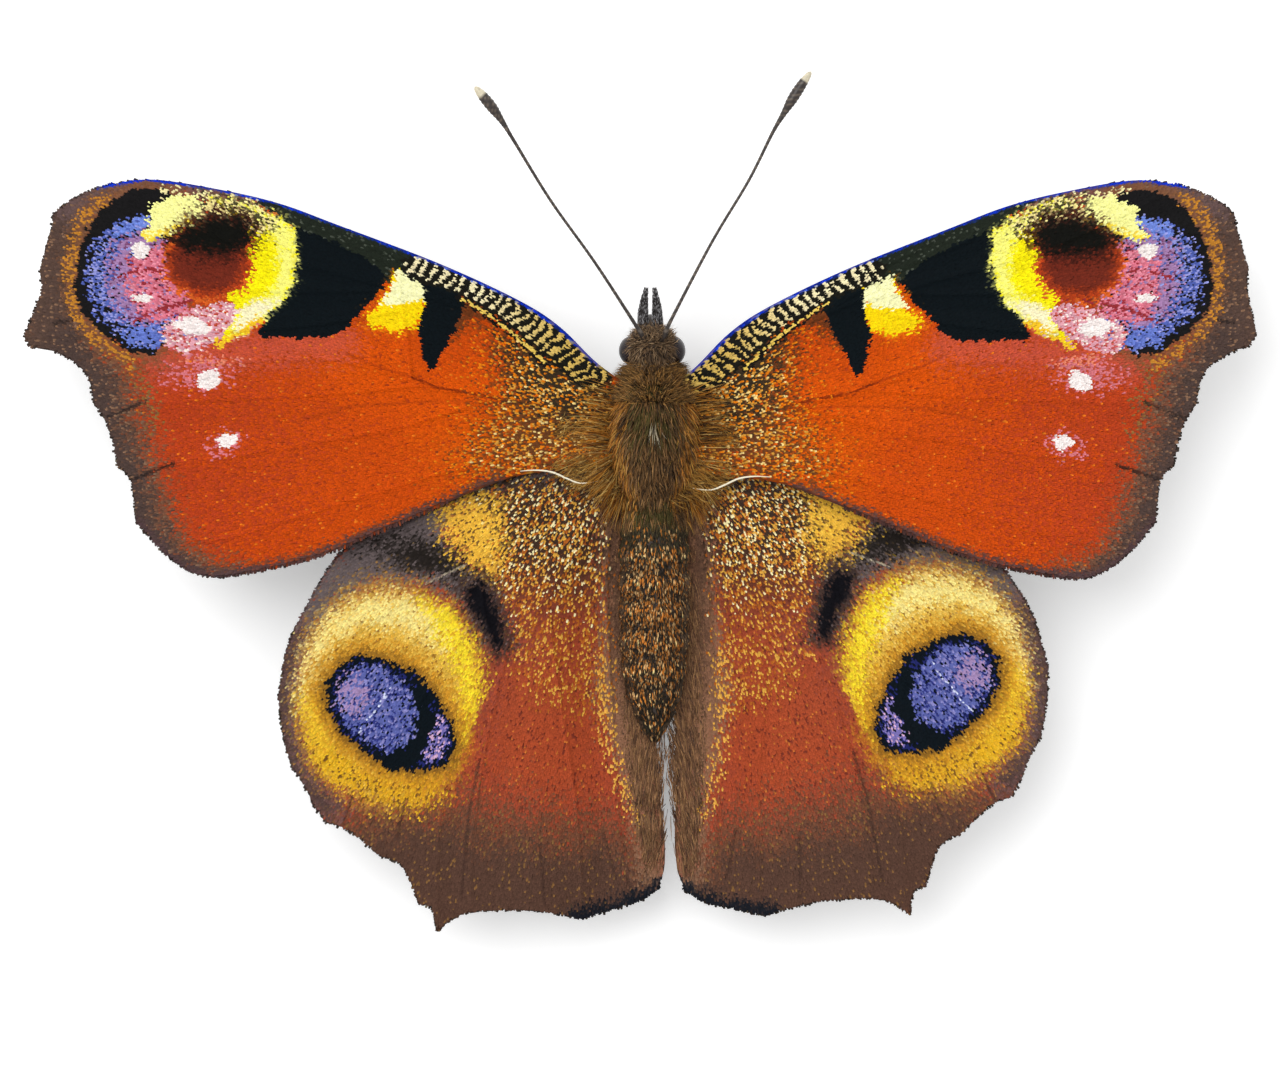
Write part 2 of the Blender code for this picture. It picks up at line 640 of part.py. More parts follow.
def main():
    for obj in list(bpy.data.objects):
        bpy.data.objects.remove(obj)
    butterfly = bpy.data.objects.new("butterfly", None)
    bpy.context.scene.collection.objects.link(butterfly)
    finish(head(), DARK_BROWN, butterfly)
    finish(thorax(), OLIVE_BROWN, butterfly)
    finish(abdomen_form("abdomen"), DARK_BROWN, butterfly)
    finish(proboscis(), BLACK_BROWN, butterfly)
    for word, side in SIDES.items():
        finish(eye("eye_" + word, side), EYE_BROWN, butterfly)
        finish(antenna("antenna_" + word, side, ANTENNAE[word]), BLACK_BROWN, butterfly)
        finish(palp("palp_" + word, side), GREY_BROWN, butterfly)
        for kind, path in LEGS.items():
            finish(leg(kind + "_" + word, side, path), BLACK_BROWN, butterfly)
        mirrored = word == "right"
        fore_set = RIGHT_FOREWING_SET if mirrored else (0.0, 0.0, 0.0)
        hind_set = RIGHT_HINDWING_SET if mirrored else (0.0, 0.0, 0.0)
        fore = wing("forewing_" + word, side, forewing_stretches(word), FOREWING_VEINS,
                    FOREWING_PIVOT, fore_set, 1.0, 0.0)
        hind = wing("hindwing_" + word, side, HINDWING_STRETCHES, HINDWING_VEINS,
                    HINDWING_PIVOT, hind_set, -1.0, 1.0)
        finish(fore, RUST, butterfly)
        finish(hind, BROWN_RED, butterfly)
    settle(butterfly)


main()
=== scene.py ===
"""Dresses the solids of a peacock butterfly: scaled wings, furred body, eyes, feelers and legs.

Sizes in the tables are millimetres from the body's own axis: distance out to the side,
distance forward of the waist, and height over the floor. Wing tables are written for the
left wings; each right wing is the mirror image, turned and shifted as it is held.
"""

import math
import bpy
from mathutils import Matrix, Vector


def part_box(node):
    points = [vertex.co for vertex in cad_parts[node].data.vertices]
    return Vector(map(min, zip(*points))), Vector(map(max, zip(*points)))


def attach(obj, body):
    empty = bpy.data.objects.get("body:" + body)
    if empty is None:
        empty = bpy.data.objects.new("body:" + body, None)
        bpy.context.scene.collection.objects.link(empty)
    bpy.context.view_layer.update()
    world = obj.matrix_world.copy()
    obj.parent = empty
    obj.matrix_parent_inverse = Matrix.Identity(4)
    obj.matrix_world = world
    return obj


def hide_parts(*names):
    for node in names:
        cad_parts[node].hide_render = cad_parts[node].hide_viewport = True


bl_info = {
    "name": "Peacock butterfly",
    "version": (1, 0, 0),
    "blender": (4, 5, 0),
    "location": "3D View > Sidebar > Butterfly",
    "description": "Scaled wings, furred body, eyes, feelers and legs over the butterfly's solids",
    "category": "Object",
}

import bmesh
import bpy
import numpy as np
from mathutils import Matrix, Vector
from mathutils.geometry import delaunay_2d_cdt

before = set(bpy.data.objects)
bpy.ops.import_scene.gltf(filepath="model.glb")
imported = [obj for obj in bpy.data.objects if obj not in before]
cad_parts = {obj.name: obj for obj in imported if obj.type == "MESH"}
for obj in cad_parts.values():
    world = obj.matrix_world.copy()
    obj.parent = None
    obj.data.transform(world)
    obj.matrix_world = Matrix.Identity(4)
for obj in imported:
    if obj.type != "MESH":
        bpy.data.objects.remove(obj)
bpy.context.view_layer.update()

MM = 0.001
WAIST_GAP = 0.15
ABDOMEN_LOW, ABDOMEN_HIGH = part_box("abdomen")
AXIS = np.array([(ABDOMEN_LOW.x + ABDOMEN_HIGH.x) / 2.0 / MM, ABDOMEN_HIGH.y / MM + WAIST_GAP, 0.0])
SIDES = {"left": -1.0, "right": 1.0}

# How the wings lie, as in the solids
WING_ROOT_LEVEL = 5.65
WING_RISE = 0.9
WING_REACH = 31.0
DROOP = 0.6
DROOP_START = 3.0
DROOP_LENGTH = 24.0
TROUGH_DEPTH = 1.2
TROUGH_WIDTH = 6.4
TROUGH_SLOPE = 4.6
TROUGH_START = 3.0
VEIN_WIDTH = 0.2
PLEAT_HEIGHT = 0.1
PLEAT_WIDTH = 0.8
RELIEF_REACH = 28.0

# Sideways places of the head and of the mouthparts
HEAD_AXIS = -0.1
MOUTH_AXIS = -0.2

FOREWING_TIPS = {"left": (31.35, 8.3), "right": (30.9, 8.3)}
FOREWING_FRONT = (
    ((1.1, 2.2), (1.1, 5.7)),
    ((1.1, 5.7), (2.9, 7.0), (4.7, 8.75), (6.7, 10.05), (10.7, 11.9), (15.7, 13.8),
     (18.7, 14.9), (21.7, 15.6), (25.2, 16.1), (27.7, 15.65), (29.3, 14.85), (29.85, 14.35)),
    ((29.85, 14.35), (30.1, 13.2), (30.55, 11.6)),
)
FOREWING_REAR = (
    ((27.95, 5.75), (27.85, 4.95), (27.2, 3.95)),
    ((27.2, 3.95), (26.9, 2.9), (26.7, 1.85)),
    ((26.7, 1.85), (26.05, 1.2), (25.85, 0.1), (25.75, -0.95)),
    ((25.75, -0.95), (24.5, -2.4), (23.2, -3.35), (21.95, -3.7), (20.2, -3.5),
     (17.7, -2.95), (15.7, -2.3), (11.7, -0.6), (7.7, 1.05), (5.7, 1.5), (3.7, 1.6), (1.1, 2.2)),
)
HINDWING_STRETCHES = (
    ((1.6, 0.4), (1.6, 1.6), (3.2, 2.5)),
    ((3.2, 2.5), (5.4, 3.0), (8.2, 2.6), (11.2, 1.3), (13.6, -0.6), (15.55, -2.4),
     (17.0, -4.6), (18.2, -7.0), (18.75, -9.7)),
    ((18.75, -9.7), (18.5, -11.6), (18.1, -13.1)),
    ((18.1, -13.1), (17.3, -14.35), (16.95, -15.15), (16.35, -15.95)),
    ((16.35, -15.95), (15.3, -16.3), (13.65, -17.65)),
    ((13.65, -17.65), (12.6, -18.1), (11.75, -20.05)),
    ((11.75, -20.05), (11.15, -20.2), (10.85, -21.4)),
    ((10.85, -21.4), (10.1, -20.8), (9.2, -20.45), (7.7, -20.35), (5.7, -20.4),
     (3.65, -20.85)),
    ((3.65, -20.85), (1.8, -20.3), (0.7, -19.95), (-0.2, -19.35)),
    ((-0.2, -19.35), (-0.5, -18.5), (-0.55, -17.5), (-0.5, -16.5), (-0.35, -15.2),
     (-0.15, -14.0), (-0.1, -12.8), (0.1, -11.0), (0.5, -6.0), (0.5, -2.0), (1.6, 0.4)),
)
FOREWING_VEINS = (
    ((2.3, 6.0), (4.7, 7.75), (7.7, 9.75), (11.2, 11.45), (14.2, 12.75)),
    ((2.3, 5.2), (4.7, 6.9), (7.7, 8.75), (10.7, 10.1), (12.7, 10.6), (16.2, 11.5),
     (20.2, 12.6), (23.2, 13.8), (26.2, 15.2)),
    ((9.2, 9.5), (12.7, 11.6), (16.2, 12.95), (17.9, 13.9)),
    ((19.2, 12.3), (23.2, 12.9), (27.2, 13.4), (29.4, 13.4)),
    ((12.7, 10.6), (17.7, 10.5), (22.7, 10.85), (29.8, 11.3)),
    ((12.5, 9.6), (17.7, 8.75), (22.7, 8.5), (30.6, 8.3)),
    ((2.4, 4.3), (4.7, 4.75), (7.7, 5.15), (10.7, 5.6), (12.1, 6.05), (15.7, 7.1),
     (20.2, 7.0), (24.2, 6.75), (27.5, 6.3)),
    ((11.5, 5.85), (16.2, 5.4), (21.7, 5.1), (25.3, 4.9), (26.8, 4.3)),
    ((7.9, 5.2), (12.7, 3.75), (18.7, 2.65), (23.9, 1.9), (26.0, 1.6)),
    ((2.4, 3.1), (5.7, 2.5), (10.7, 1.4), (16.7, -0.4), (21.7, -1.9), (24.2, -1.85)),
    ((12.7, 10.6), (12.4, 8.6), (12.1, 6.05)),
)
HINDWING_VEINS = (
    ((2.6, 1.6), (5.7, 1.5), (9.7, 0.1), (13.2, -1.6), (15.6, -3.3)),
    ((2.6, 0.6), (5.4, 0.0), (7.4, -2.2), (11.7, -4.5), (15.7, -7.0), (18.1, -9.3)),
    ((7.4, -2.2), (8.7, -4.0), (12.7, -7.5), (15.7, -11.5), (17.1, -13.8)),
    ((8.6, -5.2), (11.7, -10.0), (14.2, -14.0), (15.2, -15.8)),
    ((2.6, -0.5), (4.2, -3.0), (6.2, -6.0), (7.9, -7.4), (9.9, -12.0), (10.85, -17.0),
     (10.85, -20.6)),
    ((7.3, -7.0), (8.4, -12.0), (9.1, -16.5), (9.2, -19.9)),
    ((5.4, -4.8), (4.7, -10.0), (3.95, -15.0), (3.6, -20.1)),
    ((2.3, -2.0), (2.4, -5.0), (2.1, -11.0), (1.8, -16.0), (1.4, -19.4)),
    ((8.7, -4.0), (8.5, -5.7), (7.9, -7.4)),
)

# How each wing is held: its turn in degrees, then how far it is moved out and forward
HELD_STRAIGHT = (0.0, 0.0, 0.0)
HOLDS = {
    "forewing": {"pivot": (2.3, 4.0), "left": HELD_STRAIGHT, "right": (0.81, -0.91, -0.36)},
    "hindwing": {"pivot": (2.3, 1.0), "left": HELD_STRAIGHT, "right": (5.0, 0.0, 0.0)},
}

# The plan point that a wing's rows of scales spread from, and the height of its layer
FANS = {"forewing": (-4.0, 3.0), "hindwing": (0.5, 6.0)}
LAYERS = {"forewing": 0.5, "hindwing": -0.5}

# Feeler paths: distance out, forward, height, radius
ANTENNAE = {
    "left": ((0.45, 7.9, 6.3, 0.14), (0.6, 8.3, 6.75, 0.13), (1.1, 9.1, 7.15, 0.085),
             (3.0, 12.0, 7.6, 0.072), (5.15, 15.0, 8.0, 0.072), (7.0, 18.0, 8.4, 0.085),
             (7.55, 18.9, 8.48, 0.14), (8.05, 19.6, 8.56, 0.25), (8.5, 20.15, 8.62, 0.24),
             (8.8, 20.5, 8.67, 0.15), (8.93, 20.65, 8.7, 0.06)),
    "right": ((0.35, 7.9, 6.3, 0.14), (0.5, 8.3, 6.75, 0.13), (0.9, 9.2, 7.15, 0.085),
              (2.9, 13.0, 7.7, 0.072), (4.7, 16.0, 8.1, 0.072), (5.85, 18.3, 8.4, 0.085),
              (6.4, 19.25, 8.48, 0.14), (6.85, 20.0, 8.56, 0.25), (7.3, 20.7, 8.62, 0.24),
              (7.65, 21.2, 8.67, 0.15), (7.8, 21.4, 8.7, 0.06)),
}
PALP = ((0.34, 8.3, 4.75, 0.2), (0.37, 8.8, 4.85, 0.24), (0.36, 9.3, 5.0, 0.22),
        (0.33, 9.8, 5.2, 0.16), (0.27, 10.3, 5.45, 0.09), (0.22, 10.62, 5.58, 0.02))
LEGS = {
    "foreleg": ((0.6, 5.2, 3.6, 0.26), (0.75, 5.4, 3.0, 0.24), (0.9, 6.2, 2.95, 0.2),
                (1.0, 7.2, 3.15, 0.17), (1.1, 7.5, 2.8, 0.16), (1.05, 6.9, 2.35, 0.17),
                (1.0, 6.1, 2.05, 0.14), (1.0, 5.6, 1.9, 0.05)),
    "midleg": ((0.8, 3.6, 3.7, 0.34), (1.15, 3.8, 2.75, 0.33), (1.7, 4.0, 2.45, 0.28),
               (3.1, 4.7, 3.4, 0.24), (4.4, 5.25, 4.15, 0.19), (4.85, 5.45, 3.8, 0.18),
               (5.8, 5.85, 2.0, 0.15), (6.5, 6.15, 0.6, 0.14), (6.9, 6.35, 0.2, 0.13),
               (7.5, 6.65, 0.14, 0.11), (8.2, 7.0, 0.14, 0.11), (9.0, 7.35, 0.14, 0.1)),
    "hindleg": ((0.8, 1.7, 3.7, 0.34), (1.15, 1.5, 2.75, 0.33), (1.65, 1.2, 2.45, 0.28),
                (2.9, 0.3, 3.3, 0.24), (4.1, -0.5, 4.0, 0.19), (4.5, -0.85, 3.65, 0.18),
                (5.3, -2.3, 2.0, 0.15), (5.85, -3.35, 0.6, 0.14), (6.1, -3.85, 0.2, 0.13),
                (6.4, -4.6, 0.14, 0.11), (6.75, -5.6, 0.14, 0.11), (7.1, -6.7, 0.14, 0.1)),
}

# The skin, from face to tail: forward, half width, half height, middle height
SKIN = (
    (8.62, 0.1, 0.1, 5.3), (8.55, 0.45, 0.45, 5.3), (8.4, 0.85, 0.8, 5.35),
    (8.1, 1.15, 1.1, 5.4), (7.6, 1.2, 1.2, 5.45), (7.0, 1.1, 1.1, 5.42),
    (6.6, 0.95, 0.9, 5.4), (6.3, 1.05, 1.0, 5.4), (5.6, 1.75, 1.55, 5.35),
    (4.4, 2.3, 1.95, 5.25), (3.0, 2.4, 2.05, 5.2), (1.6, 2.15, 1.9, 5.1),
    (0.4, 1.55, 1.5, 4.95), (-0.1, 1.4, 1.4, 4.9), (-1.5, 1.65, 1.6, 4.8),
    (-4.0, 1.68, 1.7, 4.65), (-7.0, 1.64, 1.66, 4.5), (-9.0, 1.45, 1.45, 4.4),
    (-10.4, 1.05, 1.1, 4.3), (-11.3, 0.6, 0.65, 4.25), (-11.8, 0.25, 0.28, 4.2),
    (-11.9, 0.05, 0.05, 4.2),
)
RING_LENGTH = 1.45
EYE_MIDDLE = (1.05, 7.6, 5.45)
EYE_RADII = (0.62, 0.72, 0.86)

# Marks are counted in twentieths of a millimetre, inwards and down from this plan corner
MARK_CORNER = (32.7, 25.0)
MARK_STEP = 0.05
CLOUD_CELLS = 61

# The level where the picture's width is measured, and the middle of the picture
WING_HEIGHT = 6.2
PICTURE_MIDDLE_Y = -1.7
SENSOR_WIDTH = 36.0
FLOOR_HALF = 0.6
LAMP_PLACE = (-0.18, 0.22, 0.55)
LAMP_WIDTH = 0.5

# Number of hairs on each coat
HAIR_COUNTS = {
    "thorax": 15500, "collar": 7000, "abdomen": 15000, "head": 9600, "shoulder": 1900,
    "inner": 4400, "root": 900, "palp": 1200, "foreleg": 1800, "leg": 1400,
}
HAIRS_IN_LOCK = 55
HAIR_BED = 0.06
UNDER_COARSER = 1.45

# The rolled tongue: its middle, outer radius, how far it winds in, turns, steps, thickness
COIL_MIDDLE = (MOUTH_AXIS, 8.75, 3.45)
COIL_RADIUS = 0.66
COIL_INWARD = 0.4
COIL_TURNS = 1.6
COIL_STEPS = 140
COIL_THICKNESS = 0.14

# A claw from the foot on: distance ahead, distance aside, radius; height and radius of its tip
CLAW = ((-0.05, 0.02, 0.05), (0.1, 0.07, 0.045), (0.2, 0.07, 0.01))
CLAW_TIP = (0.05, 0.008)

# Spacing of the feelers' rings and length of their pale tips
FEELER_RING = 0.33
FEELER_TIP = 0.62


def marks(*corners):
    """Plan places of the left wings, from marks counted inwards and down from the corner."""
    grid = np.array(corners, float)
    return np.array(MARK_CORNER) - MARK_STEP * grid


# Shapes in the plan of a wing, as depth inside them in mm

def pieces_of(path):
    """The straight pieces of a path, each as its two ends."""
    return zip(path[:-1], path[1:])


def line_distance(spots, path):
    """Distance from each spot to a line through the given points."""
    best = np.full(len(spots), np.inf)
    for start, end in pieces_of(np.asarray(path, float)):
        step = end - start
        share = np.clip((spots - start) @ step / max(step @ step, 1e-12), 0.0, 1.0)
        away = spots - start - share[:, None] * step
        best = np.minimum(best, np.einsum("ij,ij->i", away, away))
    return np.sqrt(best)


def line_place(spots, path):
    """Length along the line at the point of it nearest to each spot."""
    best, place = np.full(len(spots), np.inf), np.zeros(len(spots))
    run = 0.0
    for start, end in pieces_of(np.asarray(path, float)):
        step = end - start
        length = math.sqrt(step @ step)
        share = np.clip((spots - start) @ step / (length * length), 0.0, 1.0)
        away = spots - start - share[:, None] * step
        gap = np.einsum("ij,ij->i", away, away)
        nearer = gap < best
        best[nearer] = gap[nearer]
        place[nearer] = run + length * share[nearer]
        run += length
    return place


def within(spots, corners):
    """Depth of each spot inside a closed shape; negative outside."""
    ring = np.asarray(corners, float)
    inside = np.zeros(len(spots), bool)
    x, y = spots[:, 0], spots[:, 1]
    for (x0, y0), (x1, y1) in zip(ring, np.roll(ring, -1, axis=0)):
        if y0 != y1:
            cross = (y0 > y) != (y1 > y)
            inside ^= cross & (x < (x1 - x0) * (y - y0) / (y1 - y0) + x0)
    gap = line_distance(spots, np.vstack([ring, ring[:1]]))
    return np.where(inside, gap, -gap)


def oval(spots, middle, radii, turn=0.0):
    """Rough depth inside an ellipse turned by so many degrees."""
    angle = math.radians(turn)
    across = np.array([math.cos(angle), math.sin(angle)])
    along = np.array([-math.sin(angle), math.cos(angle)])
    arm = spots - np.asarray(middle)
    reach = np.hypot(arm @ across / radii[0], arm @ along / radii[1])
    return (1.0 - reach) * min(radii)


def cloud(spots, size, seed):
    """Soft random values from -1 to 1, in cells of the given size."""
    table = np.random.default_rng(seed).uniform(-1.0, 1.0, (CLOUD_CELLS, CLOUD_CELLS))
    place = spots / size
    cell = np.floor(place).astype(int)
    part = place - cell
    part = part * part * (3.0 - 2.0 * part)
    x, y = part.T
    i, j = cell.T % CLOUD_CELLS
    i_next, j_next = (cell.T + 1) % CLOUD_CELLS
    near = table[i, j] * (1 - x) + table[i_next, j] * x
    far = table[i, j_next] * (1 - x) + table[i_next, j_next] * x
    return near * (1 - y) + far * y


def ease(value):
    """From 0 to 1 with a soft start and end."""
    value = np.clip(value, 0.0, 1.0)
    return value * value * (3.0 - 2.0 * value)


class Paint:
    """Colours laid one over another on many spots, each spot one scale or one hair."""

    def __init__(self, spots, ground, seed):
        self.spots = spots
        self.draw = np.random.default_rng(seed)
        self.colour = np.tile(np.array(ground, float) / 255.0, (len(spots), 1))

    def lay(self, depth, colour, soft=0.2, share=1.0):
        """Give the colour whole to single scales, ever fewer towards the shape's edge."""
        chance = np.clip(depth / soft + 0.5, 0.0, 1.0) * share
        taken = self.draw.random(len(depth)) < chance
        self.colour[taken] = np.array(colour, float) / 255.0

    def wash(self, depth, colour, soft=0.5, share=1.0, grain=0.3):
        """Blend the colour over the scales of the shape, a little unevenly at its edge."""
        uneven = grain * self.draw.normal(0.0, 1.0, len(depth))
        strength = ease(depth / soft + 0.5 + uneven) * share
        self.colour += (np.array(colour, float) / 255.0 - self.colour) * strength[:, None]

    def vary(self, amount):
        """Make each scale a little lighter or darker than the next."""
        factor = 1.0 + amount * self.draw.uniform(-1.0, 1.0, len(self.spots))
        self.colour *= factor[:, None]


# Markings of the forewing

FORE_MARGIN = marks(
    (165, 150), (20, 150), (0, 400), (60, 600), (240, 620), (255, 566), (215, 557), (190, 540),
    (174, 512), (162, 470), (152, 430), (146, 395), (136, 368), (112, 342), (100, 305), (98, 258),
    (110, 218), (132, 198), (170, 188),
)
FORE_GOLD_LINE = marks(
    (108, 199), (90, 214), (80, 236), (75, 262), (75, 290), (79, 312), (93, 332), (114, 347),
    (136, 362),
)
FORE_EYE = marks(
    (172, 190), (142, 189), (120, 197), (104, 210), (95, 223), (85, 243), (80, 262), (80, 285),
    (86, 308), (100, 326), (118, 341), (138, 352), (154, 354), (170, 342), (180, 320), (184, 290),
    (180, 240), (178, 210),
)
FORE_BLUE = marks(
    (160, 216), (130, 219), (112, 229), (100, 242), (92, 258), (89, 278), (93, 300), (106, 318),
    (126, 334), (150, 345), (180, 346), (200, 336), (190, 322), (165, 300), (150, 260), (165, 236),
)
FORE_BLUE_HEAD = marks((120, 236), (124, 224), (140, 217), (158, 220), (150, 232))
FORE_LILAC = marks(
    (118, 240), (150, 231), (172, 238), (182, 262), (190, 285), (188, 306), (172, 322), (145, 325),
    (124, 314), (114, 292), (112, 262),
)
FORE_PINK = marks(
    (132, 258), (168, 244), (184, 268), (192, 290), (192, 312), (170, 322), (146, 314), (134, 292),
)
FORE_PINK_VEIN = marks((122, 277), (148, 268), (178, 272))
FORE_LOWER_PINK_VEIN = marks((138, 320), (162, 309), (192, 300), (224, 297))
FORE_PINK_BAND = marks(
    (166, 329), (186, 313), (214, 303), (250, 301), (268, 308), (258, 322), (236, 334), (206, 347),
    (184, 353), (170, 346),
)
FORE_CRESCENT = marks(
    (214, 196), (235, 199), (262, 207), (286, 219), (298, 232), (300, 258), (297, 284), (283, 303),
    (262, 320), (243, 334), (222, 342), (230, 326), (244, 310), (232, 298), (240, 270), (244, 250),
    (252, 236), (252, 222), (226, 212),
)
FORE_RIM = marks(
    (214, 196), (235, 199), (262, 207), (286, 219), (298, 232), (300, 258), (297, 284), (284, 302),
    (262, 320), (250, 319), (270, 299), (280, 282), (282, 256), (278, 238), (262, 223), (240, 212),
)
FORE_FOOT = marks((282, 300), (262, 320), (242, 334), (234, 326), (247, 306), (262, 296))
FORE_FOOT_EDGE = marks((222, 342), (240, 333), (262, 321))
FORE_CREAM = marks(
    (156, 203), (174, 196), (200, 195), (209, 205), (207, 217), (198, 224), (180, 230), (166, 236),
    (152, 240), (146, 235), (152, 222),
)
FORE_CREAM_FLECKS = marks((160, 184), (262, 197), (264, 206), (235, 200), (206, 195), (165, 196))
FORE_MAROON = marks(
    (172, 262), (176, 247), (188, 238), (215, 236), (240, 236), (250, 246), (251, 266), (244, 284),
    (228, 293), (205, 294), (186, 287), (175, 276),
)
FORE_CAP = marks(
    (181, 241), (190, 229), (204, 222), (222, 218), (240, 219), (252, 226), (254, 238), (246, 247),
    (225, 251), (202, 250), (188, 246),
)
FORE_BLACK = marks(
    (284, 224), (300, 228), (330, 238), (365, 255), (392, 276), (386, 290), (366, 308), (352, 326),
    (340, 336), (300, 338), (266, 337), (264, 330), (270, 312), (280, 290), (286, 270), (286, 250),
)
FORE_GREY = marks(
    (255, 190), (320, 204), (380, 226), (432, 250), (422, 264), (405, 270), (392, 276), (365, 255),
    (330, 238), (300, 228), (286, 216),
)
FORE_WEDGE_CREAM = marks(
    (402, 271), (429, 274), (431, 290), (428, 308), (421, 326), (402, 331), (376, 325), (370, 318),
    (384, 303), (394, 288),
)
FORE_WEDGE_TOP = marks(
    (402, 271), (429, 274), (431, 290), (428, 301), (410, 303), (388, 303), (384, 301), (394, 288),
)
FORE_WEDGE = marks(
    (427, 282), (445, 284), (460, 290), (468, 300), (464, 316), (455, 334), (446, 352), (438, 370),
    (430, 368), (423, 346), (423, 325), (428, 305),
)
FORE_WEDGE_SHADE = marks((458, 288), (486, 304), (492, 316), (466, 330), (452, 340))
FORE_STRIPES = marks(
    (406, 262), (430, 252), (470, 270), (520, 294), (560, 322), (590, 350), (612, 376), (602, 390),
    (575, 379), (548, 353), (520, 328), (490, 308), (462, 292), (440, 284), (412, 276),
)
FORE_STRIPE_LINE = marks((400, 256), (470, 281), (520, 309), (560, 338), (612, 388))
FORE_LOWER_LINE = marks((464, 298), (488, 312), (512, 330), (532, 347), (548, 362))
FORE_BASE = marks(
    (516, 338), (540, 345), (575, 370), (610, 386), (605, 412), (573, 414), (548, 402), (528, 384),
)
FORE_SPECKS = marks(
    (512, 336), (540, 345), (612, 376), (630, 480), (520, 470), (478, 462), (488, 430), (508, 395),
    (508, 362),
)
FORE_BRIGHT = marks(
    (345, 345), (400, 335), (425, 372), (480, 365), (500, 400), (440, 430), (360, 400), (330, 365),
)
FORE_UNDER_EYE = marks((165, 362), (220, 352), (300, 345), (345, 343))
FORE_WARM = marks((430, 440), (470, 400), (520, 380), (530, 450), (500, 476), (440, 484))
FORE_DARK_VEIN = marks((415, 376), (440, 386), (480, 393), (522, 402))
FORE_OUTER_VEIN = marks((350, 352), (372, 362), (415, 376))
FORE_FAINT_VEIN = marks((300, 420), (360, 404), (440, 400), (520, 402))
FORE_CAP_TOP = marks(
    (206, 198), (232, 200), (260, 210), (278, 222), (262, 232), (236, 222), (206, 224),
)
FORE_EYE_SPOTS = ((marks((144, 250))[0], (0.5, 0.38)), (marks((146, 297))[0], (0.52, 0.24)),
                  (marks((197, 325))[0], (0.9, 0.38)))
FORE_WHITE_SPOTS = (
    (marks((213, 379))[0], (marks((205, 373))[0], (1.55, 0.8), -8.0), (0.62, 0.42)),
    (marks((232, 438))[0], (marks((229, 441))[0], (0.75, 0.55), -25.0), (0.55, 0.36)),
)
FORE_MARKS = (
    marks((112, 415), (150, 400)), marks((134, 478), (178, 461)), marks((60, 322), (84, 318)),
)
FORE_INNER_RIM = marks((520, 469), (536, 468), (552, 470), (566, 476), (580, 481), (598, 479))
FORE_ROOT = marks((562, 395), (590, 400), (620, 410), (630, 500), (580, 490), (556, 470))
FORE_TRAILING = ((25.75, -0.95), (24.5, -2.4), (23.2, -3.35), (21.95, -3.7), (20.2, -3.5),
                 (17.7, -2.95), (15.7, -2.3), (11.7, -0.6), (7.7, 1.05))
# The front edge, where a thin painted blue sheen is laid
FORE_COSTA_SHEEN = ((2.9, 7.0), (4.7, 8.75), (6.7, 10.05), (10.7, 11.9), (15.7, 13.8),
              (18.7, 14.9), (21.7, 15.6), (25.2, 16.1), (27.7, 15.65))


def forewing_colours(spots, seed, tone):
    """Rust red with a brown margin, the eyespot, black patches and a striped front edge."""
    out = spots[:, 0]
    ragged = spots + 0.12 * np.column_stack([cloud(spots, 0.35, 1), cloud(spots, 0.35, 2)])
    blot = cloud(spots, 2.2, 3) + 0.5 * cloud(spots, 0.7, 4)
    coat = Paint(ragged, tone.rust, seed)
    everywhere = np.ones(len(spots))
    coat.wash((out - 19.5) + 1.2 * blot, tone.red, 9.0, 0.95)
    coat.wash(within(ragged, FORE_WARM), (214, 92, 8), 3.0, 0.7)
    coat.wash(within(ragged, FORE_BRIGHT), (220, 86, 6), 2.0, 0.6)
    coat.wash(0.9 - line_distance(spots, FORE_UNDER_EYE), (196, 84, 70), 1.2, 0.7)
    coat.lay(everywhere, (222, 112, 26), share=0.012)
    coat.lay(everywhere, (168, 60, 20), share=0.03)
    margins(coat, spots, ragged, blot, tone)
    coat.lay(within(ragged, FORE_GREY) + 0.2, (34, 40, 32), 0.25)
    coat.lay(within(ragged, FORE_GREY), (70, 76, 66), 0.4, 0.1)
    coat.lay(within(ragged, FORE_BLACK), tone.black, 0.12)
    eye_mark(coat, spots, ragged, tone)
    middle_marks(coat, spots, ragged, tone)
    wing_root_marks(coat, ragged)
    striped_edge(coat, spots, ragged)
    for middle, halo, radii in FORE_WHITE_SPOTS:
        coat.lay(oval(ragged, *halo), (210, 116, 124), 0.8, 0.62)
        coat.lay(oval(ragged, middle, radii, -20.0), tone.white, 0.14)
    coat.lay(oval(ragged, marks((217, 359))[0], (1.2, 0.28), 4.0), (222, 128, 100), 0.4, 0.4)
    coat.wash(0.3 - line_distance(spots, FORE_TRAILING), (80, 60, 62), 0.4, 0.9)
    # A thin painted blue sheen along the front edge
    coat.wash(0.12 - line_distance(spots, FORE_COSTA_SHEEN), (10, 50, 206), 0.1, 0.95, 0.1)
    coat.vary(0.06)
    return coat.colour


def margins(coat, spots, ragged, blot, tone):
    """The brown outer margin with its thin golden line and dark vein ends."""
    edge = within(ragged, FORE_MARGIN)
    coat.wash(edge + 0.25 * blot, (118, 80, 60), 1.5)
    coat.wash(edge - 0.8 + 0.3 * blot, tone.margin, 1.2)
    coat.wash(1.2 - line_distance(spots, marks((50, 240), (46, 300), (34, 330))),
              (92, 70, 60), 1.4, 0.7)
    coat.wash(1.0 - line_distance(spots, marks((75, 200), (110, 186), (170, 180), (250, 190))),
              (104, 82, 80), 0.9, 0.85)
    coat.lay(edge, (132, 100, 78), 1.0, 0.08)
    coat.lay(0.3 - line_distance(ragged, marks((137, 361), (150, 392), (158, 425))),
             (140, 100, 54), 0.9, 0.3)
    for mark in FORE_MARKS:
        coat.wash(0.07 - line_distance(spots, mark), (40, 32, 30), 0.16, 0.75)


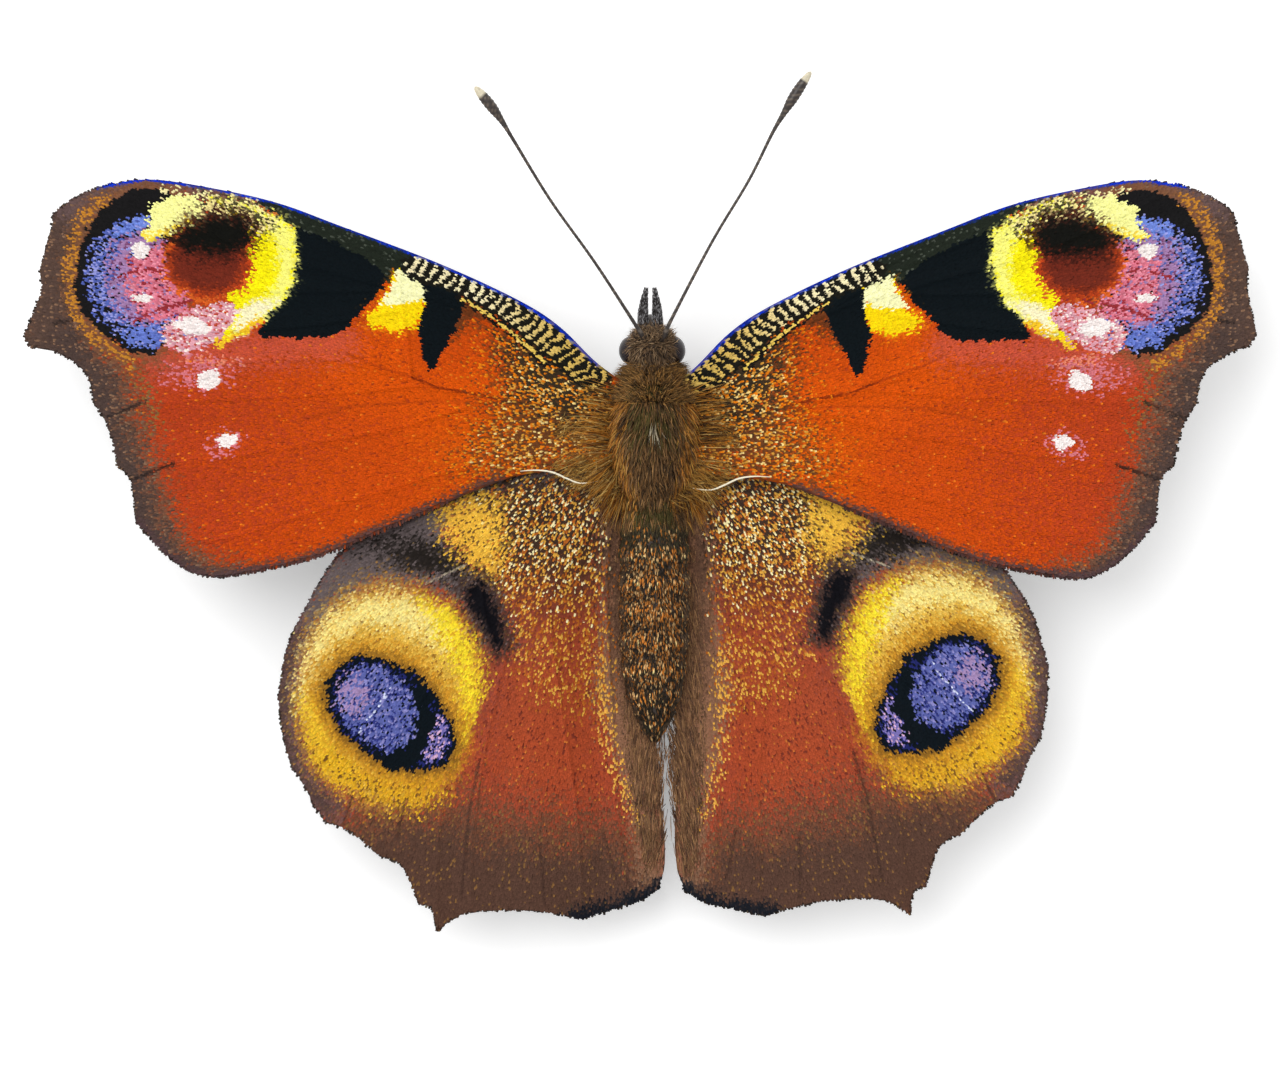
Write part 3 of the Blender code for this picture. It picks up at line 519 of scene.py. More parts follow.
def eye_mark(coat, spots, ragged, tone):
    """The eyespot: black and blue outside, lilac and pink, a yellow crescent, maroon within."""
    coat.wash(within(ragged, FORE_EYE) + 0.6, (128, 82, 54), 0.9, 0.8)
    coat.lay(0.26 - line_distance(ragged, FORE_GOLD_LINE), (192, 128, 46), 0.5, 0.55)
    coat.lay(within(ragged, FORE_EYE), (26, 25, 26), 0.16)
    blue = within(ragged, FORE_BLUE)
    coat.lay(blue, tone.blue, 0.5, 0.62)
    coat.lay(blue, (146, 150, 214), 0.6, 0.28)
    coat.lay(within(ragged, FORE_BLUE_HEAD), (112, 136, 216), 0.4, 0.7)
    coat.lay(within(ragged, FORE_LILAC), tone.lilac, 0.7, 0.8)
    coat.lay(within(ragged, FORE_LILAC), (120, 70, 110), 0.7, 0.14)
    coat.lay(within(ragged, FORE_PINK), (214, 114, 134), 0.6, 0.82)
    coat.lay(within(ragged, FORE_PINK), (226, 140, 158), 0.6, 0.3)
    coat.lay(within(ragged, FORE_PINK), (160, 50, 60), 0.6, 0.14)
    for vein in (FORE_PINK_VEIN, FORE_LOWER_PINK_VEIN):
        coat.lay(0.08 - line_distance(spots, vein), (150, 48, 54), 0.12, 0.75)
    coat.lay(oval(ragged, marks((150, 336))[0], (1.0, 0.5)), (104, 124, 204), 0.4, 0.75)
    band = within(ragged, FORE_PINK_BAND)
    coat.lay(band, (220, 158, 170), 0.35, 0.9)
    coat.lay(band, (200, 88, 84), 0.6, 0.2)
    coat.lay(band, (248, 224, 216), 0.5, 0.16)
    maroon = within(ragged, FORE_MAROON)
    crescent = within(ragged, FORE_CRESCENT)
    coat.lay(crescent, (248, 232, 14), 0.16)
    coat.wash(within(ragged, FORE_RIM), tone.cream, 0.5)
    coat.wash(within(ragged, FORE_FOOT), (251, 241, 196), 0.4)
    coat.lay(0.2 - line_distance(ragged, FORE_FOOT_EDGE), (240, 194, 40), 0.3, 0.8)
    coat.lay(within(ragged, FORE_CREAM), (253, 251, 158), 0.3)
    coat.lay(0.22 - line_distance(ragged, marks((150, 236), (175, 230), (204, 219))),
             (246, 216, 70), 0.3, 0.6)
    coat.lay(within(ragged, FORE_CREAM_FLECKS), (240, 226, 164), 0.4, 0.38)
    coat.lay(maroon + 0.35, (216, 98, 36), 0.5, 0.7)
    coat.lay(maroon + 0.12, (186, 66, 26), 0.3)
    coat.wash(maroon - 0.15, tone.maroon, 0.7, 1.0, 0.2)
    coat.wash(within(ragged, FORE_CAP_TOP), (52, 48, 38), 0.6, 0.9, 0.6)
    coat.lay(within(ragged, FORE_CAP_TOP) + 0.1, (248, 230, 150), 0.5, 0.42)
    coat.wash(within(ragged, FORE_CAP) + 0.35, (58, 26, 20), 0.9, 0.9)
    coat.wash(within(ragged, FORE_CAP), (18, 18, 15), 0.6)
    for middle, radii in FORE_EYE_SPOTS:
        coat.lay(oval(ragged, middle, radii, 12.0), tone.white, 0.12)


def middle_marks(coat, spots, ragged, tone):
    """The pale patch and the black wedge beside it on the front half."""
    patch = within(ragged, FORE_WEDGE_CREAM)
    coat.wash(np.minimum(patch + 0.1, 11.2 - spots[:, 1]), (236, 130, 10), 0.6, 0.85)
    coat.lay(patch, (250, 214, 12), 0.5)
    coat.lay(within(ragged, FORE_WEDGE_TOP), (253, 251, 190), 0.3)
    coat.wash(within(ragged, FORE_WEDGE_SHADE), (84, 50, 30), 0.8, 0.8)
    coat.lay(within(ragged, FORE_WEDGE), tone.black, 0.16)
    coat.wash(0.05 - line_distance(spots, FORE_DARK_VEIN), (112, 36, 12), 0.12, 0.85, 0.1)
    coat.wash(0.05 - line_distance(spots, FORE_OUTER_VEIN), (140, 46, 14), 0.14, 0.5, 0.1)
    coat.wash(0.05 - line_distance(spots, FORE_FAINT_VEIN), (150, 54, 16), 0.2, 0.5, 0.1)


def wing_root_marks(coat, ragged):
    """Dark olive at the root, thick with golden scales."""
    specks = within(ragged, FORE_SPECKS)
    coat.wash(specks - 0.1, (94, 60, 36), 2.0, 0.88, 0.5)
    coat.wash(within(ragged, FORE_BASE) + 0.5, (52, 44, 32), 1.4, 0.92, 0.4)
    coat.lay(specks + 1.3, (222, 122, 18), 2.4, 0.16)
    coat.lay(specks, (204, 144, 56), 1.8, 0.2)
    coat.lay(specks - 0.3, (238, 206, 130), 1.6, 0.07)


def striped_edge(coat, spots, ragged):
    """Short cream bars on black along the front edge, golden towards the root."""
    stripes = within(ragged, FORE_STRIPES)
    coat.lay(stripes + 0.1, (28, 27, 22), 0.16)
    place = line_place(spots, FORE_STRIPE_LINE) + 0.4 * line_distance(spots, FORE_STRIPE_LINE)
    rhythm = np.sin(2.0 * math.pi * (place / 0.5 + 0.4 * cloud(spots, 0.55, 9)))
    golden = ease((9.0 - spots[:, 0]) / 5.0)[:, None]
    cream, gold = np.array([[240, 226, 180]]), np.array([[212, 178, 92]])
    bars = (cream * (1.0 - golden) + gold * golden) / 255.0
    chosen = (rhythm > 0.2) & (stripes > 0.03) & (coat.draw.random(len(spots)) < 0.86)
    coat.colour[chosen] = bars[chosen]
    coat.lay(0.2 - line_distance(spots, FORE_LOWER_LINE), (24, 22, 20), 0.2, 0.8)
    coat.lay(0.07 - line_distance(spots, FORE_LOWER_LINE), (232, 198, 92), 0.1, 0.9)


# Markings of the hindwing

HIND_LOW = marks(
    (296, 796), (350, 806), (440, 790), (500, 800), (560, 812), (610, 812), (640, 836), (700, 840),
    (700, 960), (400, 980), (280, 830),
)
HIND_DARK_EDGE = marks((575, 914), (620, 905), (650, 892), (668, 880))
HIND_FOLD = marks(
    (594, 500), (602, 600), (596, 690), (608, 730), (628, 795), (640, 880), (700, 900), (700, 740),
    (680, 600), (648, 480),
)
HIND_FOLD_LOW = marks((640, 780), (652, 860), (700, 900), (700, 740))
HIND_BRIGHT_FIELD = marks(
    (510, 660), (560, 640), (600, 700), (610, 790), (560, 800), (500, 780), (480, 730),
)
HIND_OUTER_EDGE = marks((300, 632), (283, 680), (284, 730), (300, 775), (330, 802))
HIND_GREY = marks(
    (270, 720), (278, 640), (310, 580), (345, 540), (400, 500), (450, 470), (520, 455), (610, 460),
    (610, 500), (520, 492), (455, 500), (446, 530), (462, 556), (496, 572), (508, 640), (484, 640),
    (464, 596), (430, 582), (380, 580), (335, 606), (306, 650), (297, 720), (306, 770), (322, 800),
    (290, 790),
)
HIND_GOLD = marks(
    (440, 502), (470, 490), (500, 498), (505, 545), (492, 572), (470, 560), (450, 538), (444, 520),
)
HIND_DOTS = marks(
    (470, 490), (520, 474), (596, 474), (604, 520), (602, 600), (608, 690), (598, 712), (560, 700),
    (530, 690), (514, 650), (504, 590), (484, 560), (470, 530),
)
HIND_CUT = marks(
    (520, 560), (504, 640), (488, 682), (465, 744), (448, 790), (430, 860), (280, 900), (240, 640),
    (330, 540),
)
HIND_CREAM_ARC = marks(
    (302, 676), (312, 640), (336, 610), (372, 592), (410, 594), (444, 614), (458, 644), (436, 640),
    (404, 622), (368, 620), (340, 634), (322, 660), (314, 694), (304, 706),
)
HIND_BRIGHT = marks(
    (424, 594), (456, 606), (478, 640), (484, 684), (470, 738), (452, 752), (462, 712), (460, 672),
    (446, 640),
)
HIND_OUTER_BAND = marks((316, 700), (318, 724), (328, 750), (346, 768))
HIND_BOTTOM = marks(
    (318, 742), (356, 762), (398, 774), (440, 770), (444, 790), (420, 803), (384, 798), (350, 782),
    (322, 762),
)
HIND_OVAL = marks(
    (344, 658), (366, 651), (390, 655), (416, 668), (438, 690), (453, 716), (457, 742), (448, 760),
    (424, 768), (397, 763), (368, 748), (343, 727), (329, 704), (328, 678),
)
HIND_BLUE = marks(
    (344, 680), (358, 662), (380, 661), (396, 672), (413, 690), (419, 712), (411, 736), (391, 746),
    (369, 738), (351, 722), (341, 700),
)
HIND_STREAK = marks((394, 678), (384, 695), (372, 712), (360, 728))
HIND_SMALL_BLUE = marks(
    (440, 706), (448, 716), (450, 734), (444, 752), (430, 758), (424, 750), (431, 732),
)
HIND_BAR = marks(
    (468, 582), (484, 579), (494, 595), (501, 615), (506, 640), (497, 644), (486, 622), (473, 603),
)
HIND_PALE_LINE = marks((428, 579), (466, 561))
HIND_MARKS = (
    marks((354, 792), (344, 820)), marks((406, 796), (398, 832)),
    marks((480, 760), (470, 806), (462, 892)), marks((603, 828), (616, 874)),
    marks((540, 840), (545, 900)),
)
HIND_FLECKS = marks((602, 650), (604, 700), (614, 760), (636, 812))
HIND_SEAM = marks((612, 480), (616, 560), (620, 640), (632, 700))
HIND_INNER = marks(
    (598, 490), (640, 490), (660, 640), (672, 760), (668, 860), (642, 870), (612, 740), (598, 620),
)


def hindwing_colours(spots, seed, tone):
    """Red brown with a grey front, golden dots, and a dark blue eye in a yellow ring."""
    ragged = spots + 0.12 * np.column_stack([cloud(spots, 0.35, 11), cloud(spots, 0.35, 12)])
    blot = cloud(spots, 2.2, 13) + 0.5 * cloud(spots, 0.7, 14)
    coat = Paint(ragged, tone.brick, seed)
    everywhere = np.ones(len(spots))
    coat.wash(1.8 - line_distance(spots, marks((500, 700), (520, 650))), (146, 70, 54), 2.0, 0.8)
    coat.wash(within(ragged, HIND_BRIGHT_FIELD) + 0.5 * blot, (172, 74, 40), 2.4, 0.7)
    coat.lay(everywhere, (196, 110, 48), share=0.03)
    coat.lay(everywhere, (120, 50, 36), share=0.06)
    low = within(ragged, HIND_LOW) + 0.5 * blot
    coat.wash(low, (112, 72, 52), 2.6, 0.95)
    coat.wash(low - 1.5, (84, 60, 50), 1.8, 0.9)
    coat.lay(low, (128, 92, 54), 2.0, 0.05)
    coat.wash(within(spots, HIND_FOLD), (138, 102, 78), 0.8, 0.92)
    coat.wash(within(spots, HIND_FOLD_LOW), (146, 92, 72), 1.0, 0.9)
    coat.wash(0.3 - line_distance(spots, HIND_SEAM), (84, 60, 48), 0.7, 0.7)
    coat.wash(within(ragged, HIND_GREY) + 0.1 * blot, (102, 90, 90), 0.9)
    coat.wash(0.8 - line_distance(spots, HIND_OUTER_EDGE), (112, 80, 78), 1.2, 0.85)
    coat.wash(0.4 - line_distance(spots, HIND_OUTER_EDGE), (78, 60, 56), 0.8, 0.8)
    coat.wash(oval(ragged, marks((427, 553))[0], (2.3, 0.8), 12.0), (36, 31, 28), 1.1)
    dots = within(ragged, HIND_DOTS)
    top = ease((spots[:, 1] + 7.0) / 5.5)
    coat.wash(dots, (64, 48, 38), 1.6, 0.92 * top + 0.05)
    coat.lay(dots, (176, 96, 36), 1.4, 0.24)
    coat.lay(dots, (218, 162, 66), 1.0, 0.16 + 0.05 * top)
    coat.lay(dots, (246, 228, 172), 1.0, 0.12 * top)
    coat.wash(within(ragged, HIND_GOLD), (246, 192, 64), 1.1, 0.92, 0.4)
    coat.lay(within(ragged, HIND_GOLD), (120, 86, 44), 1.0, 0.12)
    coat.lay(0.35 - line_distance(ragged, HIND_FLECKS), (224, 166, 72), 0.8, 0.36)
    ring_mark(coat, spots, ragged, blot)
    blue_eye(coat, spots, ragged, tone)
    coat.wash(within(ragged, HIND_BAR) + 0.4, (64, 46, 40), 0.9, 0.85)
    coat.wash(within(ragged, HIND_BAR), (16, 15, 20), 0.4)
    coat.wash(0.04 - line_distance(spots, HIND_PALE_LINE), (180, 168, 142), 0.1, 0.85, 0.1)
    for mark in HIND_MARKS:
        coat.wash(0.06 - line_distance(spots, mark), (60, 42, 36), 0.16, 0.6, 0.1)
    coat.wash(0.45 - line_distance(ragged, HIND_DARK_EDGE), (22, 26, 34), 0.6, 0.95)
    coat.vary(0.06)
    return coat.colour


def ring_mark(coat, spots, ragged, blot):
    """The yellow ring: golden outside, creamy above, bright yellow to the inside."""
    cut = 4.0 * within(ragged, HIND_CUT)
    ring = np.minimum(oval(spots, marks((390, 690))[0], (4.55, 5.6)) + 0.12 * blot, cut)
    coat.wash(ring, (176, 126, 58), 1.3)
    coat.wash(ring - 0.45, (222, 178, 70), 1.0)
    coat.lay(ring, (150, 104, 44), 1.2, 0.08)
    coat.wash(np.minimum(within(ragged, HIND_CREAM_ARC), cut), (247, 228, 142), 1.2, 0.95)
    coat.wash(np.minimum(within(ragged, HIND_BRIGHT), cut), (248, 222, 44), 1.0, 0.9)
    coat.lay(np.minimum(within(ragged, HIND_BRIGHT), cut), (214, 164, 40), 1.0, 0.16)
    coat.wash(0.7 - line_distance(spots, HIND_OUTER_BAND), (236, 196, 44), 0.9, 0.8)
    coat.wash(within(ragged, HIND_BOTTOM), (220, 166, 30), 1.1, 0.85)
    coat.lay(within(ragged, HIND_BOTTOM), (124, 86, 36), 1.0, 0.18)
    coat.lay(within(ragged, HIND_BOTTOM) + 0.4, (226, 176, 46), 1.0, 0.12)


def blue_eye(coat, spots, ragged, tone):
    """The black oval with its blue middle, broken pale streak and lilac crescent."""
    dark = within(ragged, HIND_OVAL)
    coat.wash(dark + 0.8, (196, 134, 34), 1.0, 0.8)
    coat.wash(dark + 0.3, (120, 84, 32), 0.5, 0.7)
    coat.lay(dark, (12, 19, 28), 0.3)
    coat.lay(dark - 0.2, (34, 40, 100), 0.4, 0.4)
    coat.lay(0.5 - line_distance(ragged, marks((420, 690), (428, 715), (414, 750), (395, 757))),
             (12, 20, 26), 0.3)
    coat.lay(within(ragged, HIND_BLUE), tone.eye_blue, 0.4, 0.8)
    coat.lay(within(ragged, HIND_BLUE), (48, 54, 124), 0.4, 0.22)
    coat.lay(within(ragged, HIND_BLUE), (134, 132, 190), 0.6, 0.16)
    coat.lay(oval(ragged, marks((355, 690))[0], (0.85, 1.0)), (160, 134, 178), 0.6, 0.62)
    coat.lay(0.04 - line_distance(spots, HIND_STREAK), (206, 212, 238), 0.08, 0.6)
    small = within(ragged, HIND_SMALL_BLUE)
    coat.lay(small, (122, 112, 178), 0.25, 0.6)
    coat.lay(small, (206, 166, 198), 0.3, 0.2)


def underside_colours(spots, seed, tone, fan):
    """Bark-dark brown, crossed by wavy black and grey lines."""
    reach = np.hypot(*(spots - np.asarray(fan)).T)
    wave = reach / 1.15 + 1.1 * cloud(spots, 3.0, 21) + 0.35 * cloud(spots, 0.9, 22)
    coat = Paint(spots, tone.bark, seed)
    coat.wash(0.5 * np.sin(2.0 * math.pi * wave) - 0.1, (24, 20, 20), 0.8, 0.9)
    coat.wash(0.5 * np.sin(2.0 * math.pi * wave * 2.3) - 0.35, (84, 74, 64), 0.4, 0.6)
    coat.wash(reach - 24.0 + cloud(spots, 4.0, 23), (74, 66, 60), 3.0, 0.5)
    coat.lay(np.ones(len(spots)), (110, 98, 80), share=0.06)
    coat.lay(oval(spots, (10.5, -8.0), (0.3, 0.3)), (226, 220, 196), 0.1)
    coat.vary(0.1)
    return coat.colour


# Curves and shapes

def smooth_line(points, step):
    """Points about one step apart on a smooth curve through the given points."""
    points = np.asarray(points, float)
    before = np.vstack([points[:1], points[:-1]])
    after = np.vstack([points[1:], points[-1:]])
    lean = (after - before) / 6.0
    line = [points[:1]]
    for i in range(len(points) - 1):
        start, end = points[i], points[i + 1]
        pull, push = start + lean[i], end - lean[i + 1]
        reach = np.linalg.norm(end - start)
        count = max(1, round(reach / step))
        t = (np.arange(1, count + 1) / count)[:, None]
        near = (start * (1.0 - t) + pull * 3.0 * t) * (1.0 - t) ** 2
        far = (push * 3.0 * (1.0 - t) + end * t) * t * t
        line.append(near + far)
    return np.vstack(line)


def wing_outline(kind, word, step):
    """The closed outline of a wing, as that of the left side."""
    stretches = HINDWING_STRETCHES
    if kind == "forewing":
        front, back = FOREWING_FRONT[-1][-1], FOREWING_REAR[0][0]
        tip = FOREWING_TIPS[word]
        above = (front, (30.5, 10.5), tip)
        below = (tip, (tip[0] - 0.35, 7.75), (29.7, 7.45), (28.5, 6.7), back)
        stretches = (*FOREWING_FRONT, above, below, *FOREWING_REAR)
    return np.vstack([smooth_line(stretch, step)[:-1] for stretch in stretches])


def held(spots, kind, word):
    """Where plan places of a left wing lie on the wing of this side."""
    turn, out, forward = HOLDS[kind][word]
    pivot = np.array(HOLDS[kind]["pivot"])
    angle = math.radians(turn)
    spin = np.array([[math.cos(angle), math.sin(angle)], [-math.sin(angle), math.cos(angle)]])
    placed = pivot + (spots - pivot) @ spin + (out, forward)
    return placed * (SIDES[word], 1.0)


def wing_level(placed, kind):
    """Height of a wing's middle sheet at placed plan points."""
    out, forward = np.abs(placed[:, 0]), placed[:, 1]
    arch = np.sin(0.7 * math.pi * np.minimum(out / WING_REACH, 1.0))
    droop = DROOP * (np.minimum(forward - DROOP_START, 0.0) / DROOP_LENGTH) ** 2
    height = WING_ROOT_LEVEL + WING_RISE * arch - droop + LAYERS[kind]
    if kind == "hindwing":
        near = ease((TROUGH_WIDTH - out) / TROUGH_SLOPE)
        height = height - TROUGH_DEPTH * near * np.clip(-forward / TROUGH_START, 0.0, 1.0)
    return height


def vein_relief(spots, kind, rise):
    """Height added by the veins and by the soft folds between them."""
    veins = FOREWING_VEINS if kind == "forewing" else HINDWING_VEINS
    gap = np.full(len(spots), np.inf)
    for vein in veins:
        gap = np.minimum(gap, line_distance(spots, smooth_line(vein, 1.5)))
    root = np.array(HOLDS[kind]["pivot"])
    fade = 1.0 - 0.5 * np.clip(np.hypot(*(spots - root).T) / RELIEF_REACH, 0.0, 1.0)
    fold = PLEAT_HEIGHT * np.exp(-((gap / PLEAT_WIDTH) ** 2))
    return fade * rise * ease(1.0 - gap / VEIN_WIDTH) + fold


def to_frame(points):
    """Millimetres from the body's axis to metres in the frame."""
    return (np.asarray(points) + AXIS) * MM


def loft(sections, sides, pointed=False):
    """Extrude one ring through the sections; each is a centre and two half-axis vectors."""
    bm = bmesh.new()
    bmesh.ops.create_circle(bm, cap_ends=True, segments=sides, radius=1.0)
    bm.faces.ensure_lookup_table()
    cap = bm.faces[0]
    for number, (centre, across, up) in enumerate(sections):
        if number:
            cap = bmesh.ops.extrude_discrete_faces(bm, faces=[cap])["faces"][0]
        for index, vert in enumerate(cap.verts):
            angle = 2.0 * math.pi * (index + 0.5) / sides
            vert.co = Vector(centre + across * math.cos(angle) + up * math.sin(angle))
    if pointed:
        bmesh.ops.pointmerge(bm, verts=list(cap.verts), merge_co=Vector(sections[-1][0]))
    bmesh.ops.holes_fill(bm, edges=[edge for edge in bm.edges if edge.is_boundary])
    return bm


def limb_sections(path, side, step, ringed=0.0):
    """Rings along a path of (out, forward, height, radius) rows."""
    line = smooth_line(path, step)
    centres = line[:, :3] * (side, 1.0, 1.0)
    across = np.cross(centres[1] - centres[0], (0.0, 0.0, 1.0))
    sections = []
    for i, centre in enumerate(centres):
        ahead = centres[min(i + 1, len(centres) - 1)] - centres[max(i - 1, 0)]
        ahead /= np.linalg.norm(ahead)
        across = across - ahead * (across @ ahead)
        across /= np.linalg.norm(across)
        radius = line[i, 3] * (1.0 + ringed * (i % 2))
        sections.append((centre, across * radius, np.cross(across, ahead) * radius))
    return sections


def bmesh_piece(name, bm, finish, tints=None, smooth=True):
    """Make an object of a bmesh in millimetres, set in the frame and finished.

    The tints are one colour for each corner point, or a function of the points.
    """
    bmesh.ops.recalc_face_normals(bm, faces=bm.faces)
    mesh = bpy.data.meshes.new(name)
    bm.to_mesh(mesh)
    bm.free()
    spots = np.zeros(len(mesh.vertices) * 3)
    mesh.vertices.foreach_get("co", spots)
    spots = spots.reshape(-1, 3)
    if tints is not None:
        paint_mesh(mesh, tints(spots) if callable(tints) else tints)
    mesh.vertices.foreach_set("co", to_frame(spots).ravel())
    mesh.polygons.foreach_set("use_smooth", np.full(len(mesh.polygons), smooth))
    mesh.update()
    return finished(name, mesh, finish)


def plain(red, green, blue):
    """One colour, written from 0 to 255, for as many points as come."""
    return lambda points: np.tile(np.array([[red, green, blue]]) / 255.0, (len(points), 1))


def take_in(bm, part):
    """Add the shape of one bmesh to another and free it."""
    mesh = bpy.data.meshes.new("part")
    part.to_mesh(mesh)
    part.free()
    bm.from_mesh(mesh)
    bpy.data.meshes.remove(mesh)


def paint_mesh(mesh, colours):
    """Keep one colour for each corner point of the mesh."""
    tint = mesh.color_attributes.new("tint", "BYTE_COLOR", "POINT")
    whole = np.column_stack([np.clip(colours, 0.0, 1.0), np.ones(len(colours))])
    tint.data.foreach_set("color_srgb", whole.astype(np.float32).ravel())


def finished(name, mesh, finish):
    """Make an object of the mesh, which rides on the root."""
    mesh.materials.append(finish)
    obj = bpy.data.objects.new(name, mesh)
    bpy.context.scene.collection.objects.link(obj)
    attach(obj, "root")
    return obj


class Unit:
    """The one small shape that a coat repeats, read from a bmesh."""

    def __init__(self, bm):
        bm.verts.index_update()
        self.corners = np.array([vert.co for vert in bm.verts])
        faces = [[vert.index for vert in face.verts] for face in bm.faces]
        self.loops = np.array([index for face in faces for index in face])
        self.sizes = np.array([len(face) for face in faces])
        bm.free()


def joined(name, unit, places, tints, patches, finish, smooth=False):
    """Join a copy of the unit for each row of places, with its colours and map patch."""
    count, corners = places.shape[:2]
    steps = np.arange(count)[:, None]
    loops = (unit.loops + corners * steps).ravel()
    starts = np.cumsum(np.tile(unit.sizes, count)) - np.tile(unit.sizes, count)
    mesh = bpy.data.meshes.new(name)
    mesh.vertices.add(count * corners)
    mesh.loops.add(len(loops))
    mesh.polygons.add(len(starts))
    mesh.vertices.foreach_set("co", to_frame(places.reshape(-1, 3)).ravel())
    mesh.loops.foreach_set("vertex_index", loops)
    mesh.polygons.foreach_set("loop_start", starts)
    mesh.update(calc_edges=True)
    paint_mesh(mesh, tints.reshape(-1, 3))
    layer = mesh.uv_layers.new(name="OFBake")
    layer.data.foreach_set("uv", patches.reshape(-1, 2)[loops].ravel())
    mesh.polygons.foreach_set("use_smooth", np.full(len(starts), smooth))
    mesh.update()
    return finished(name, mesh, finish)


# Side of one scale's or hair's patch, as a share of the map
PATCH = 0.003


def map_patches(unit, where):
    """A patch on the map for each copy, at its root's place, from 0 to 1 each way."""
    flat = unit.corners[:, :2] * (0.5, 1.0) - (0.0, 0.5)
    return where[:, None, :] * (1.0 - 2.0 * PATCH) + PATCH + flat[None] * PATCH


# Scales and hairs

def scale_unit():
    """A thin rounded plate: root at y = 0, tip at y = 1, half a width at x = 1."""
    bm = bmesh.new()
    bmesh.ops.create_grid(bm, x_segments=1, y_segments=2, size=1.0)
    for vert in bm.verts:
        along = 0.5 * (vert.co.y + 1.0)
        wide = 0.55 + 0.45 * math.sin(math.pi * min(along * 1.15, 1.0)) + 0.1 * along
        vert.co = Vector((vert.co.x * wide, along * (1.0 if along < 0.9 else 0.97), 0.0))
    return Unit(bm)


def hair_unit():
    """A three-sided hair with one bend: root at y = 0, tip at y = 1."""
    sections = [
        (np.array([0.0, along, 0.0]), np.array([wide, 0.0, 0.0]), np.array([0.0, 0.0, wide]))
        for along, wide in ((0.0, 0.8), (0.45, 1.0), (1.0, 0.1))
    ]
    bm = loft(sections, 3, pointed=True)
    bmesh.ops.recalc_face_normals(bm, faces=bm.faces)
    return Unit(bm)


def fan_spots(kind, word, row, pitch, draw):
    """Places in rows round the wing's root, inside its outline, with outward directions."""
    outline = wing_outline(kind, word, 0.5)
    centre = np.array(FANS[kind])
    reach = np.hypot(*(outline - centre).T)
    bearing = np.arctan2(*(outline - centre).T)
    spots = []
    for radius in np.arange(max(reach.min(), 1.0), reach.max(), row):
        step = pitch / radius
        turns = np.arange(bearing.min(), bearing.max(), step) + draw.uniform(0.0, step)
        turns = turns + draw.normal(0.0, 0.12 * step, len(turns))
        far = radius + draw.normal(0.0, 0.14 * row, len(turns))
        spots.append(centre + np.column_stack([np.sin(turns), np.cos(turns)]) * far[:, None])
    spots = np.vstack(spots)
    spots = spots[within(spots, outline) > 0.1]
    arm = spots - centre
    return spots, arm / np.hypot(*arm.T)[:, None]


def fringe_spots(kind, word, pitch, draw):
    """Places just inside the outer edge, with directions across it."""
    outline = wing_outline(kind, word, pitch)
    ahead = np.roll(outline, -1, axis=0) - np.roll(outline, 1, axis=0)
    ahead /= np.hypot(*ahead.T)[:, None]
    outward = np.column_stack([-ahead[:, 1], ahead[:, 0]])
    if within(outline[:1] + 0.05 * outward[:1], outline)[0] > 0:
        outward = -outward
    fan = outline - np.array(FANS[kind])
    fan /= np.hypot(*fan.T)[:, None]
    loose = (np.einsum("ij,ij->i", fan, outward) > 0.15) | (outline[:, 1] < 0.0)
    loose &= outline[:, 0] > 3.2 if kind == "forewing" else outline[:, 0] > -0.3
    loose &= ~((outline[:, 1] > 2.0) & (outline[:, 0] < 27.0))
    lie = outward + 0.35 * fan + draw.normal(0.0, 0.1, outline.shape)
    lie /= np.hypot(*lie.T)[:, None]
    return (outline - 0.14 * outward)[loose], lie[loose]


def turned(directions, spread, draw):
    """Directions each turned by a small random angle."""
    angle = draw.normal(0.0, spread, len(directions))
    x, y = directions.T
    return np.column_stack([x * np.cos(angle) - y * np.sin(angle),
                            x * np.sin(angle) + y * np.cos(angle)])


